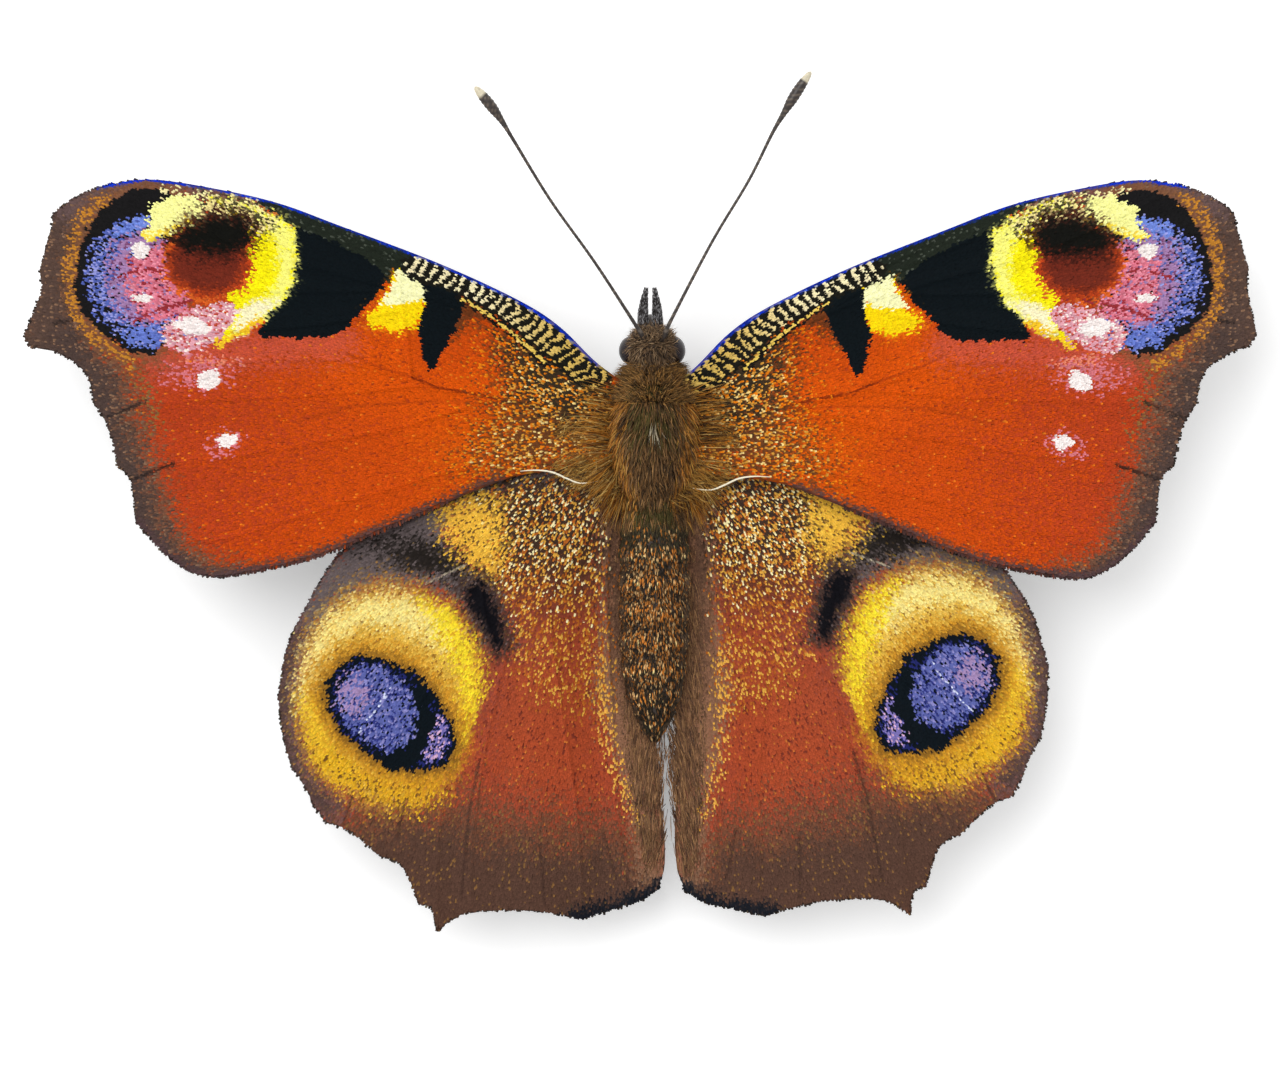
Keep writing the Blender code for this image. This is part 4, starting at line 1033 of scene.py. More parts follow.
def wing_scales(name, kind, word, under, size, finish, tone):
    """Cover one side of a wing with overlapping scales and a loose fringe."""
    draw = np.random.default_rng(SCALE_SEEDS[kind] + (7 if word == "right" else 0) + under)
    coarser = UNDER_COARSER if under else 1.0
    pitch = size.scale_pitch / MM * coarser
    row = size.scale_row / MM * coarser
    spots, lie = fan_spots(kind, word, row, pitch, draw)
    edge, edge_lie = fringe_spots(kind, word, pitch * 1.1, draw)
    spots, lie = np.vstack([spots, edge]), np.vstack([lie, edge_lie])
    fringe = np.arange(len(spots)) >= len(spots) - len(edge)
    lie = turned(lie, 0.07, draw)
    length = row * draw.uniform(2.1, 2.6, len(spots))
    fringe_length = size.fringe_length / MM
    length[fringe] = draw.uniform(0.6, 1.05, len(edge)) * fringe_length
    half = pitch * draw.uniform(0.52, 0.62, len(spots))
    unit = SCALE
    across = np.column_stack([lie[:, 1], -lie[:, 0]])
    corners = (spots[:, None] + lie[:, None] * (unit.corners[:, 1, None] * length[:, None, None])
               + across[:, None] * (unit.corners[:, 0, None] * half[:, None, None]))
    flat = corners.reshape(-1, 2)
    placed = held(flat, kind, word)
    rise = vein_relief(flat, kind, size.vein_rise / MM)
    lift = 0.02 + 0.05 * np.tile(unit.corners[:, 1], len(spots))
    lift = lift * np.repeat(draw.uniform(0.7, 1.4, len(spots)), len(unit.corners))
    lift[np.repeat(fringe, len(unit.corners))] *= 0.3
    half_sheet = 0.5 * size.membrane / MM
    height = wing_level(placed, kind)
    if under:
        height = height - half_sheet - 0.6 * rise - lift
    else:
        height = height + half_sheet + rise + lift
    places = np.column_stack([placed, height]).reshape(len(spots), -1, 3)
    if under:
        colours = underside_colours(spots, 31, tone, FANS[kind])
    elif kind == "forewing":
        colours = forewing_colours(spots, 41 + (word == "right"), tone)
    else:
        colours = hindwing_colours(spots, 51 + (word == "right"), tone)
    colours[fringe] *= draw.uniform(0.65, 0.95, (len(edge), 1))
    # Painted shade towards each scale's root and painted light towards its tip
    shade = 0.86 + 0.2 * unit.corners[:, 1]
    tints = colours[:, None] * shade[None, :, None]
    low, high = spots.min(axis=0), spots.max(axis=0)
    where = (spots - low) / (high - low).max()
    if (SIDES[word] < 0.0) == bool(under):
        unit = flipped(unit)
    return joined(name, unit, places, tints, map_patches(unit, where), finish)


def flipped(unit):
    """The same unit with its faces turned round."""
    twin = Unit.__new__(Unit)
    twin.corners, twin.sizes = unit.corners, unit.sizes
    ends = np.cumsum(unit.sizes)
    twin.loops = np.concatenate([unit.loops[end - size:end][::-1]
                                 for end, size in zip(ends, unit.sizes)])
    return twin


def hairs(name, roots, outward, lie, length, width, lift, tints, where, finish, clump=0.0):
    """Join tapering hairs that rise from their roots and bend down along the lie."""
    unit = HAIR
    across = np.cross(lie, outward)
    across /= np.linalg.norm(across, axis=1)[:, None]
    along = unit.corners[:, 1][None, :, None]
    arch = np.where(along < 0.1, -0.12, np.where(along < 0.9, 0.8, 1.0))
    spine = (roots[:, None] + lie[:, None] * along * length[:, None, None]
             + outward[:, None] * arch * (lift * length)[:, None, None])
    if clump:
        draw = np.random.default_rng(len(roots))
        chosen = draw.choice(len(roots), max(len(roots) // HAIRS_IN_LOCK, 1), replace=False)
        nearest = np.zeros(len(roots), int)
        for start in range(0, len(roots), 2000):
            gap = roots[start:start + 2000, None] - roots[chosen][None]
            nearest[start:start + 2000] = np.argmin((gap ** 2).sum(axis=2), axis=1)
        middle = roots[chosen][nearest] - roots
        spine = spine + middle[:, None] * along ** 1.5 * clump
    body = (across[:, None] * unit.corners[:, 0][None, :, None]
            + outward[:, None] * unit.corners[:, 2][None, :, None])
    places = spine + body * (0.5 * width)[:, None, None]
    return joined(name, unit, places, tints, map_patches(unit, where), finish, smooth=True)


# Body surface

def profile(forward):
    """Half width, half height, middle height and sideways place of the skin."""
    table = np.array(SKIN)[::-1]
    spot = np.clip(np.asarray(forward, float), table[0, 0], table[-1, 0])
    index = np.clip(np.searchsorted(table[:, 0], spot, side="right") - 1, 0, len(table) - 2)
    start, end = table[index], table[index + 1]
    share = (spot - start[..., 0]) / (end[..., 0] - start[..., 0])
    share = (0.5 * ease(share) + 0.5 * share)[..., None]
    width, height, middle = np.moveaxis((start + (end - start) * share)[..., 1:], -1, 0)
    behind = ease((-0.2 - spot) / 0.8) * ease((spot + 11.8) / 1.5)
    swell = 1.0 + 0.035 * behind * np.sin(2.0 * math.pi * spot / RING_LENGTH)
    return width * swell, height * swell, middle, HEAD_AXIS * ease((spot - 6.2) / 0.8)


def skin_points(forward, turn):
    """Points on the skin; turn 0 is on top and grows to the animal's right."""
    width, height, middle, sideways = profile(forward)
    return np.stack([sideways + width * np.sin(turn), forward, middle + height * np.cos(turn)],
                    axis=-1)


def skin_outward(forward, turn):
    """Directions straight out of the skin."""
    step = 0.03
    along = skin_points(forward + step, turn) - skin_points(forward - step, turn)
    round_it = skin_points(forward, turn + step) - skin_points(forward, turn - step)
    outward = np.cross(round_it, along)
    return outward / np.linalg.norm(outward, axis=1)[:, None]


def coat_spots(front, back, count, draw):
    """Random places spread evenly over a stretch of the skin."""
    forward = draw.uniform(back, front, count * 4)
    width, height = profile(forward)[:2]
    keep = draw.uniform(0.0, (width + height).max(), len(forward)) < width + height
    forward = forward[keep][:count]
    return forward, draw.uniform(-math.pi, math.pi, len(forward))


def along_skin(lie, outward):
    """The part of each direction that lies in the skin."""
    lie = lie - outward * np.einsum("ij,ij->i", lie, outward)[:, None]
    return lie / np.linalg.norm(lie, axis=1)[:, None]


def hair_tints(base, draw, root_shade=0.6, tip_shade=1.15, vary=0.14):
    """Colours for every corner of each hair: painted shade towards the root, painted light towards
    the tip.
    """
    along = HAIR.corners[:, 1]
    shade = root_shade + (tip_shade - root_shade) * along
    each = 1.0 + vary * draw.uniform(-1.0, 1.0, len(base))
    return base[:, None] * shade[None, :, None] * each[:, None, None]


def mixed(count, draw, *parts):
    """A colour for each hair, drawn from (share, colour) parts."""
    shares = np.array([part[0] for part in parts], float)
    colours = np.array([part[1] for part in parts], float) / 255.0
    return colours[draw.choice(len(parts), count, p=shares / shares.sum())]


def body_map(forward, turn):
    """Place on the unrolled skin, from 0 to 1 each way."""
    return np.column_stack([turn / (2.0 * math.pi) + 0.5, (forward + 12.0) / 21.0])


# Finishes

def finish_nodes(name):
    """A new material with its nodes, links and main shader."""
    material = bpy.data.materials.new(name)
    material.use_nodes = True
    nodes = material.node_tree.nodes
    return material, nodes, material.node_tree.links, nodes["Principled BSDF"]


def fine_noise(nodes, links, grain):
    """Even noise in the object's own space."""
    place = nodes.new("ShaderNodeTexCoord")
    noise = nodes.new("ShaderNodeTexNoise")
    noise.inputs["Scale"].default_value = grain
    links.new(place.outputs["Object"], noise.inputs["Vector"])
    return noise.outputs["Fac"]


def stretched(nodes, links, source, span, reach):
    """A value that runs over the reach while its source runs over the span."""
    node = nodes.new("ShaderNodeMapRange")
    ends = zip(("From Min", "From Max", "To Min", "To Max"), (*span, *reach))
    for name, value in ends:
        node.inputs[name].default_value = value
    links.new(source, node.inputs["Value"])
    return node.outputs["Result"]


def relief(nodes, links, source, shader, strength, depth):
    """Bumps on the surface, as high as the source says."""
    bump = nodes.new("ShaderNodeBump")
    bump.inputs["Strength"].default_value = strength
    bump.inputs["Distance"].default_value = depth
    links.new(source, bump.inputs["Height"])
    links.new(bump.outputs["Normal"], shader.inputs["Normal"])
    return bump


GRAIN_SPAN = (0.3, 0.7)


def grainy(name, grain, contrast, rough, bump, depth, shine):
    """The painted tint, broken up by a fine grain that also drives roughness and bump."""
    material, nodes, links, shader = finish_nodes(name)
    tint = nodes.new("ShaderNodeAttribute")
    tint.attribute_name = "tint"
    noise = fine_noise(nodes, links, grain)
    shade = stretched(nodes, links, noise, GRAIN_SPAN, (1.0 - contrast, 1.0 + contrast))
    scaled = nodes.new("ShaderNodeVectorMath")
    scaled.operation = "SCALE"
    links.new(tint.outputs["Color"], scaled.inputs[0])
    links.new(shade, scaled.inputs["Scale"])
    links.new(scaled.outputs["Vector"], shader.inputs["Base Color"])
    polish = stretched(nodes, links, noise, GRAIN_SPAN, rough)
    links.new(polish, shader.inputs["Roughness"])
    relief(nodes, links, noise, shader, bump, depth)
    shader.inputs["Specular IOR Level"].default_value = shine
    return material


def powdery_scales(name):
    """Matt, finely grained wing scales."""
    return grainy(name, 9000.0, 0.06, (0.55, 0.8), 0.25, 0.00001, 0.04)


def wing_membrane():
    """The sheet under the scales."""
    return grainy("wing membrane", 5000.0, 0.1, (0.55, 0.75), 0.3, 0.00001, 0.05)


def soft_hair(name):
    """Hair with a faint sheen."""
    return grainy(name, 6000.0, 0.08, (0.5, 0.7), 0.2, 0.00001, 0.15)


def dark_skin():
    """The rough skin under the coats."""
    return grainy("body skin", 3000.0, 0.2, (0.6, 0.85), 0.5, 0.00003, 0.5)


def horn(name):
    """Smooth, slightly glossy horn."""
    return grainy(name, 7000.0, 0.18, (0.28, 0.5), 0.4, 0.00001, 0.5)


def faceted_eye():
    """Dark red-brown, with the fine honeycomb of a compound eye."""
    material, nodes, links, shader = finish_nodes("faceted eye")
    place = nodes.new("ShaderNodeTexCoord")
    cells = nodes.new("ShaderNodeTexVoronoi")
    cells.inputs["Scale"].default_value = 26000.0
    links.new(place.outputs["Object"], cells.inputs["Vector"])
    ramp = nodes.new("ShaderNodeValToRGB")
    ramp.color_ramp.elements[0].color = (0.036, 0.022, 0.024, 1.0)
    ramp.color_ramp.elements[1].position = 0.7
    ramp.color_ramp.elements[1].color = (0.008, 0.005, 0.006, 1.0)
    links.new(cells.outputs["Distance"], ramp.inputs["Fac"])
    links.new(ramp.outputs["Color"], shader.inputs["Base Color"])
    polish = stretched(nodes, links, fine_noise(nodes, links, 1500.0), (0.0, 1.0), (0.14, 0.34))
    links.new(polish, shader.inputs["Roughness"])
    relief(nodes, links, cells.outputs["Distance"], shader, 0.6, 0.00001).invert = True
    shader.inputs["Specular IOR Level"].default_value = 0.3
    return material


def paper_floor(colour, glow):
    """Plain pale paper that gives off a little light."""
    material, nodes, links, shader = finish_nodes("floor paper")
    ramp = nodes.new("ShaderNodeValToRGB")
    ramp.color_ramp.elements[0].color = (*[0.985 * part for part in colour], 1.0)
    ramp.color_ramp.elements[1].color = (*colour, 1.0)
    links.new(fine_noise(nodes, links, 900.0), ramp.inputs["Fac"])
    links.new(ramp.outputs["Color"], shader.inputs["Base Color"])
    shader.inputs["Roughness"].default_value = 0.9
    shader.inputs["Specular IOR Level"].default_value = 0.0
    shader.inputs["Emission Color"].default_value = (1.0, 1.0, 1.0, 1.0)
    shader.inputs["Emission Strength"].default_value = glow
    return material


# Pieces

def membrane(name, kind, word, size, finish, tone):
    """The closed thin sheet of a wing, with its veins as ribs, under the scales."""
    edge = wing_outline(kind, word, 0.3)
    fill = []
    low, high = edge.min(axis=0), edge.max(axis=0)
    for number, y in enumerate(np.arange(low[1], high[1], 0.32)):
        x = np.arange(low[0] + 0.185 * (number % 2), high[0], 0.37)
        fill.append(np.column_stack([x, np.full(len(x), y)]))
    fill = np.vstack(fill)
    fill = fill[within(fill, edge) > 0.16]
    sheet = delaunay_2d_cdt(
        [Vector(spot) for spot in np.vstack([edge, fill])], [],
        [list(range(len(edge)))], 1, 1e-4,
    )
    spots, faces = np.array(sheet[0]), sheet[2]
    placed = held(spots, kind, word)
    rise = vein_relief(spots, kind, size.vein_rise / MM)
    half = 0.5 * size.membrane / MM
    height = wing_level(placed, kind)
    bm = bmesh.new()
    number = bm.verts.layers.int.new("number")
    verts = [bm.verts.new((x, y, z)) for (x, y), z in zip(placed, height - half - 0.6 * rise)]
    for index, vert in enumerate(verts):
        vert[number] = index
    for face in faces:
        bm.faces.new([verts[index] for index in face])
    lifted = bmesh.ops.extrude_face_region(bm, geom=bm.faces[:])["geom"]
    upper = {item for item in lifted if isinstance(item, bmesh.types.BMVert)}
    for vert in upper:
        vert.co.z = height[vert[number]] + half + rise[vert[number]]
    paint = forewing_colours if kind == "forewing" else hindwing_colours
    below = underside_colours(spots, 3, tone, FANS[kind]) * 0.8
    above = paint(spots, 5, tone) * 0.8
    tints = np.array([(above if vert in upper else below)[vert[number]] for vert in bm.verts])
    bm.verts.layers.int.remove(number)
    return bmesh_piece(name, bm, finish, tints)


def vein_ribs(name, kind, word, size, finish):
    """Fine ribs along the veins, half sunk in both faces of the membrane."""
    bm = bmesh.new()
    for vein in FOREWING_VEINS if kind == "forewing" else HINDWING_VEINS:
        line = smooth_line(vein, 0.6)
        placed = held(line, kind, word)
        share = np.linspace(0.0, 1.0, len(line))
        radius = size.vein_radius / MM * (1.0 - 0.55 * share)
        path = np.column_stack([placed, wing_level(placed, kind), radius])
        take_in(bm, loft(limb_sections(path, 1.0, 0.6), 6))
    return bmesh_piece(name, bm, finish, plain(58, 40, 32))


def inner_rim(word, size, finish):
    """The pale curled rim at the hind edge of the forewing, beside the body."""
    line = smooth_line(FORE_INNER_RIM, 0.15)
    placed = held(line, "forewing", word)
    share = np.linspace(0.0, 1.0, len(line))
    radius = 0.052 * np.sin(math.pi * (0.08 + 0.84 * share))
    height = wing_level(placed, "forewing") + size.membrane / MM + 0.08
    sections = limb_sections(np.column_stack([placed, height, radius]), 1.0, 0.15)
    name = "forewing_" + word + "_inner_rim"
    return bmesh_piece(name, loft(sections, 8), finish, plain(240, 232, 206))


def body_skin(finish):
    """One skin from face to tail tip, in place of head, thorax and abdomen."""
    places = np.concatenate([np.linspace(8.62, 6.0, 24)[:-1], np.linspace(6.0, -10.4, 96)[:-1],
                             np.linspace(-10.4, -11.9, 14)])
    width, height, middle, sideways = profile(places)
    sections = [
        (np.array([x, y, z]), np.array([wide, 0.0, 0.0]), np.array([0.0, 0.0, high]))
        for x, y, z, wide, high in zip(sideways, places, middle, width, height)
    ]

    def tints(points):
        base = plain(62, 46, 32)(points)
        base[points[:, 1] < 0.0] = np.array([50.0, 38.0, 30.0]) / 255.0
        return base

    skin = bmesh_piece("body_skin", loft(sections, 40), finish, tints)
    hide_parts("head", "thorax", "abdomen")
    return skin


def shaded_below(colours, turn):
    """Darken the hair of the animal's underside."""
    return colours * (1.0 - 0.55 * ease((0.1 - np.cos(turn)) / 0.5))[:, None]


def thorax_coat(size, finish):
    """Olive-brown silky hair, golden at the sides, with a dark collar behind the head."""
    draw = np.random.default_rng(61)
    forward, turn = coat_spots(6.45, -0.6, HAIR_COUNTS["thorax"], draw)
    roots, outward = skin_points(forward, turn), skin_outward(forward, turn)
    beside = np.abs(np.sin(turn))
    flare = 0.7 * np.sin(turn) * ease(1.0 - np.abs(forward - 4.2) / 4.2)
    lie = np.column_stack([flare, -np.ones(len(flare)), -0.2 * beside])
    lie = along_skin(lie + draw.normal(0.0, 0.2, lie.shape), outward)
    length = size.thorax_hair / MM * draw.uniform(0.6, 1.1, len(forward))
    length *= 0.5 + 0.5 * ease((6.6 - forward) / 1.4)
    colours = mixed(len(forward), draw, (0.34, (118, 90, 60)), (0.28, (148, 108, 66)),
                    (0.22, (74, 58, 42)), (0.16, (188, 142, 90)))
    olive = ease(1.0 - np.abs(forward - 4.2) / 1.8) * ease(1.6 - 2.4 * beside)
    waist = ease(1.6 - np.abs(forward + 0.1) / 0.4) * ease(2.0 - 2.4 * beside)
    swap = draw.random(len(forward)) < np.maximum(0.55 * olive, 0.7 * waist)
    colours[swap] = np.array([98, 88, 48]) / 255.0
    sides = ease((beside - 0.35) / 0.35) * ease((4.2 - np.abs(forward - 3.4)) / 1.6)
    gold = mixed(len(forward), draw, (0.45, (204, 134, 58)), (0.35, (228, 166, 80)),
                 (0.2, (132, 86, 44)))
    swap = draw.random(len(forward)) < 0.85 * sides
    colours[swap] = gold[swap]
    chance = 0.85 * ease(1.0 - np.abs(forward - 5.85) / 0.4) * ease(1.8 - 2.2 * beside)
    collar = draw.random(len(forward)) < chance
    colours[collar] = np.array([66, 72, 36]) / 255.0
    streak = (np.abs(roots[:, 0]) < 0.09) & (np.abs(forward - 3.95) < 0.35) & (roots[:, 2] > 6.0)
    colours[streak] = np.array([222, 206, 176]) / 255.0
    return hairs("thorax_hair", roots, outward, lie, length,
                 draw.uniform(0.035, 0.06, len(forward)), draw.uniform(0.15, 0.4, len(forward)),
                 hair_tints(shaded_below(colours, turn), draw), body_map(forward, turn),
                 finish, clump=0.35)


def collar_hair(size, finish):
    """Upright golden-brown hair where head and thorax meet, fanning to both sides."""
    draw = np.random.default_rng(64)
    forward, turn = coat_spots(6.9, 4.9, HAIR_COUNTS["collar"], draw)
    upper = np.cos(turn) > -0.3
    forward, turn = forward[upper], turn[upper]
    roots, outward = skin_points(forward, turn), skin_outward(forward, turn)
    lie = np.column_stack([1.3 * np.sin(turn), 0.2 + 0.3 * draw.normal(0.0, 1.0, len(turn)),
                           0.5 * np.cos(turn)])
    lie = lie + 0.5 * outward + draw.normal(0.0, 0.2, lie.shape)
    lie /= np.linalg.norm(lie, axis=1)[:, None]
    up = along_skin(outward, lie)
    length = size.collar_hair / MM * draw.uniform(0.5, 1.1, len(forward))
    colours = mixed(len(forward), draw, (0.35, (112, 84, 50)), (0.25, (150, 106, 54)),
                    (0.25, (80, 62, 40)), (0.15, (184, 138, 76)))
    return hairs("collar_hair", roots, up, lie, length,
                 draw.uniform(0.03, 0.05, len(forward)), np.full(len(forward), 0.05),
                 hair_tints(shaded_below(colours, turn), draw), body_map(forward, turn),
                 finish, clump=0.25)


def abdomen_coat(size, finish):
    """Short flat scale-hairs, dark brown with golden ones, over the ringed abdomen."""
    draw = np.random.default_rng(62)
    forward, turn = coat_spots(0.0, -11.85, HAIR_COUNTS["abdomen"], draw)
    roots, outward = skin_points(forward, turn), skin_outward(forward, turn)
    lie = np.column_stack([0.15 * np.sin(turn), -np.ones(len(turn)), -0.1 * np.abs(np.sin(turn))])
    lie = along_skin(lie + draw.normal(0.0, 0.13, lie.shape), outward)
    length = size.abdomen_hair / MM * draw.uniform(0.6, 1.15, len(forward))
    colours = mixed(len(forward), draw, (0.4, (56, 46, 36)), (0.18, (118, 86, 52)),
                    (0.27, (196, 122, 50)), (0.15, (236, 190, 128)))
    low = draw.random(len(forward)) < 0.6 * ease((-7.6 - forward) / 3.4)
    colours[low] = np.array([50, 44, 32]) / 255.0
    flank = draw.random(len(forward)) < 0.6 * ease((np.abs(np.sin(turn)) - 0.6) / 0.3)
    colours[flank] = np.array([92, 74, 58]) / 255.0
    early = draw.random(len(forward)) < 0.75 * ease((forward + 3.2) / 1.8)
    colours[early] = np.array([78, 70, 48]) / 255.0
    band = 0.5 + 0.5 * np.sin(2.0 * math.pi * forward / RING_LENGTH)
    colours *= (0.78 + 0.34 * band)[:, None]
    return hairs("abdomen_scales", roots, outward, lie, length,
                 draw.uniform(0.07, 0.13, len(forward)), np.full(len(forward), 0.16),
                 hair_tints(shaded_below(colours, turn), draw, 0.8, 1.1),
                 body_map(forward, turn), finish)


def head_coat(size, finish):
    """Short dense hair on the head, longest between the feelers."""
    draw = np.random.default_rng(63)
    forward, turn = coat_spots(8.6, 6.2, HAIR_COUNTS["head"], draw)
    roots = skin_points(forward, turn)
    eye_gap = np.abs(roots[:, 0] - HEAD_AXIS) - EYE_MIDDLE[0] * 0.8
    beside = (roots[:, 1] - EYE_MIDDLE[1]) ** 2 + (roots[:, 2] - EYE_MIDDLE[2]) ** 2
    keep = (eye_gap < 0.0) | (beside > 0.62)
    forward, turn, roots = forward[keep], turn[keep], roots[keep]
    outward = skin_outward(forward, turn)
    front = ease((forward - 7.4) / 0.8)
    lie = np.column_stack([0.7 * np.sin(turn), -1.0 + 1.7 * front, 0.45 * front])
    lie = along_skin(lie + draw.normal(0.0, 0.35, lie.shape), outward)
    length = size.head_hair / MM * draw.uniform(0.55, 1.2, len(forward))
    length *= 0.7 + 0.7 * ease((np.cos(turn) - 0.3) / 0.6)
    colours = mixed(len(forward), draw, (0.35, (112, 90, 68)), (0.3, (140, 110, 80)),
                    (0.2, (70, 58, 50)), (0.15, (180, 150, 114)))
    return hairs("head_hair", roots, outward, lie, length,
                 draw.uniform(0.03, 0.05, len(forward)), draw.uniform(0.3, 0.8, len(forward)),
                 hair_tints(shaded_below(colours, turn), draw), body_map(forward, turn),
                 finish, clump=0.3)


def wing_hair_spots(kind, word, region, count, draw):
    """Random places of a wing inside a region, with their height and upward direction."""
    low, high = region.min(axis=0), region.max(axis=0)
    spots = draw.uniform(low, high, (count * 5, 2))
    depth = within(spots, region)
    spots = spots[draw.random(len(spots)) < ease(depth / 0.9)][:count]
    placed = held(spots, kind, word)
    height = wing_level(placed, kind) + HAIR_BED
    return spots, np.column_stack([placed, height])


def lying_hairs(name, kind, word, region, count, way, spread, length, lift, mixture, finish, seed):
    """Hair that lies over part of a wing, in one direction given for the left side."""
    draw = np.random.default_rng(seed + (word == "right"))
    spots, roots = wing_hair_spots(kind, word, region, count, draw)
    lie = turned(np.tile(np.array(way, float), (len(spots), 1)), spread, draw)
    ends = held(spots + 0.01 * lie, kind, word)
    flat = ends - roots[:, :2]
    slope = wing_level(ends, kind) + HAIR_BED - roots[:, 2]
    lie = np.column_stack([flat, slope])
    lie /= np.linalg.norm(lie, axis=1)[:, None]
    outward = np.tile(np.array([0.0, 0.0, 1.0]), (len(spots), 1))
    outward = along_skin(outward, lie)
    tints = hair_tints(mixed(len(spots), draw, *mixture), draw)
    low, high = region.min(axis=0), region.max(axis=0)
    where = (spots - low) / (high - low).max()
    return hairs(name, roots, outward, lie, length * draw.uniform(0.55, 1.1, len(spots)),
                 draw.uniform(0.035, 0.06, len(spots)), np.full(len(spots), lift),
                 tints, where, finish, clump=0.3)


def shoulder_tuft(word, size, finish):
    """Long golden hair that fans from the side of the thorax over the wing roots."""
    draw = np.random.default_rng(71 + (word == "right"))
    side = SIDES[word]
    count = HAIR_COUNTS["shoulder"]
    forward = draw.uniform(0.6, 5.6, count)
    turn = side * draw.uniform(math.radians(50.0), math.radians(84.0), count)
    roots = skin_points(forward, turn)
    rear = ease((3.4 - forward) / 3.0)
    lie = np.column_stack([side * (1.15 - 0.75 * rear), 0.1 - 1.3 * rear, 0.12 - 0.1 * rear])
    lie = lie + draw.normal(0.0, 0.2, lie.shape) * (1.0, 1.0, 0.5)
    lie /= np.linalg.norm(lie, axis=1)[:, None]
    length = size.shoulder_hair / MM * draw.uniform(0.3, 1.0, count) ** 1.4
    up = along_skin(np.tile(np.array([0.0, 0.0, 1.0]), (count, 1)), lie)
    colours = mixed(count, draw, (0.28, (186, 116, 36)), (0.25, (214, 150, 62)), (0.3, (98, 66, 36)),
                    (0.17, (232, 184, 106)))
    where = np.column_stack([(forward - 0.6) / 5.0, (np.abs(turn) - 0.87) / 0.6])
    return hairs("shoulder_tuft_" + word, roots, up, lie, length,
                 draw.uniform(0.03, 0.05, count), np.full(count, 0.1),
                 hair_tints(colours, draw, 0.5, 1.15), np.clip(where, 0.0, 1.0), finish, clump=0.6)


def eye(word, finish):
    """An oval eye at the side of the head."""
    bm = bmesh.new()
    bmesh.ops.create_icosphere(bm, subdivisions=4, radius=1.0)
    bmesh.ops.scale(bm, vec=Vector(EYE_RADII), verts=bm.verts)
    out, forward, height = EYE_MIDDLE
    place = Vector((HEAD_AXIS + SIDES[word] * out, forward, height))
    bmesh.ops.translate(bm, vec=place, verts=bm.verts)
    return bmesh_piece("eye_" + word + "_facets", bm, finish)


def antenna(word, finish):
    """A thin ringed feeler with a dark club and a pale tip."""
    sections = limb_sections(ANTENNAE[word], SIDES[word], 0.11, ringed=0.12)
    end = sections[-1][0]
    path = smooth_line(ANTENNAE[word], 0.4)[:, :3] * (SIDES[word], 1.0, 1.0)
    steps = np.linalg.norm(np.diff(path, axis=0), axis=1)
    run = np.concatenate([[0.0], np.cumsum(steps)])

    def tints(points):
        shown = plain(46, 38, 34)(points)
        nearest = np.argmin(((points[:, None] - path[None]) ** 2).sum(axis=2), axis=1)
        rings = np.sin(2.0 * math.pi * run[nearest] / FEELER_RING + points[:, 1] * 19.0)
        shown[rings > 0.75] = np.array([96, 84, 72]) / 255.0
        tip = np.linalg.norm(points - end, axis=1)
        shown[tip < FEELER_TIP] = np.array([206, 196, 170]) / 255.0
        return shown

    return bmesh_piece("antenna_" + word + "_rings", loft(sections, 12, pointed=True), finish, tints)


def palp(word, finish):
    """A pointed palp beside the tongue, under its scales."""
    sections = limb_sections(PALP, SIDES[word], 0.08)
    lean = np.array([MOUTH_AXIS, 0.0, 0.0])
    sections = [(centre + lean, across, up) for centre, across, up in sections]
    core = loft(sections, 14, pointed=True)
    return bmesh_piece("palp_" + word + "_core", core, finish, plain(70, 66, 66))


def limb_hairs(name, path, side, count, length, width, lift, mixture, finish, seed, lean=0.0):
    """Short hair round a limb, pointing to its tip."""
    draw = np.random.default_rng(seed)
    sections = limb_sections(path, side, 0.15)
    picked = draw.integers(0, len(sections) - 1, count)
    turn = draw.uniform(-math.pi, math.pi, count)
    centre = np.array([sections[i][0] for i in picked])
    after = np.array([sections[i + 1][0] for i in picked])
    across = np.array([sections[i][1] for i in picked])
    up = np.array([sections[i][2] for i in picked])
    share = draw.random(count)[:, None]
    ring = across * np.cos(turn)[:, None] + up * np.sin(turn)[:, None]
    roots = centre + (after - centre) * share + ring * 0.95 + (lean, 0.0, 0.0)
    outward = ring / np.linalg.norm(ring, axis=1)[:, None]
    lie = along_skin(after - centre, outward)
    tints = hair_tints(mixed(count, draw, *mixture), draw, 0.8, 1.1)
    where = np.column_stack([turn / (2.0 * math.pi) + 0.5, (picked + share[:, 0]) / len(sections)])
    return hairs(name, roots, outward, lie, length * draw.uniform(0.6, 1.1, count),
                 width * draw.uniform(0.8, 1.2, count), np.full(count, lift), tints, where, finish)


def proboscis(finish):
    """The sucking tube, rolled up like a watch spring, with fine rings."""
    sections = []
    for i in range(COIL_STEPS):
        share = i / (COIL_STEPS - 1)
        radius = COIL_RADIUS - COIL_INWARD * share
        angle = math.radians(100.0) - 2.0 * math.pi * COIL_TURNS * share
        out = np.array([0.0, math.cos(angle), math.sin(angle)])
        thick = COIL_THICKNESS * (1.0 - 0.45 * share) * (1.0 + 0.06 * (i % 2))
        centre = np.array(COIL_MIDDLE) + out * radius
        sections.append((centre, np.array([thick * 1.25, 0.0, 0.0]), out * thick))
    start = [(np.array([MOUTH_AXIS, y, z]), np.array([0.17, 0.0, 0.0]), np.array([0.0, 0.08, 0.12]))
             for y, z in ((8.4, 4.75), (8.5, 4.4))]
    return bmesh_piece("proboscis_coil", loft(start + sections, 12), finish, plain(40, 30, 26))


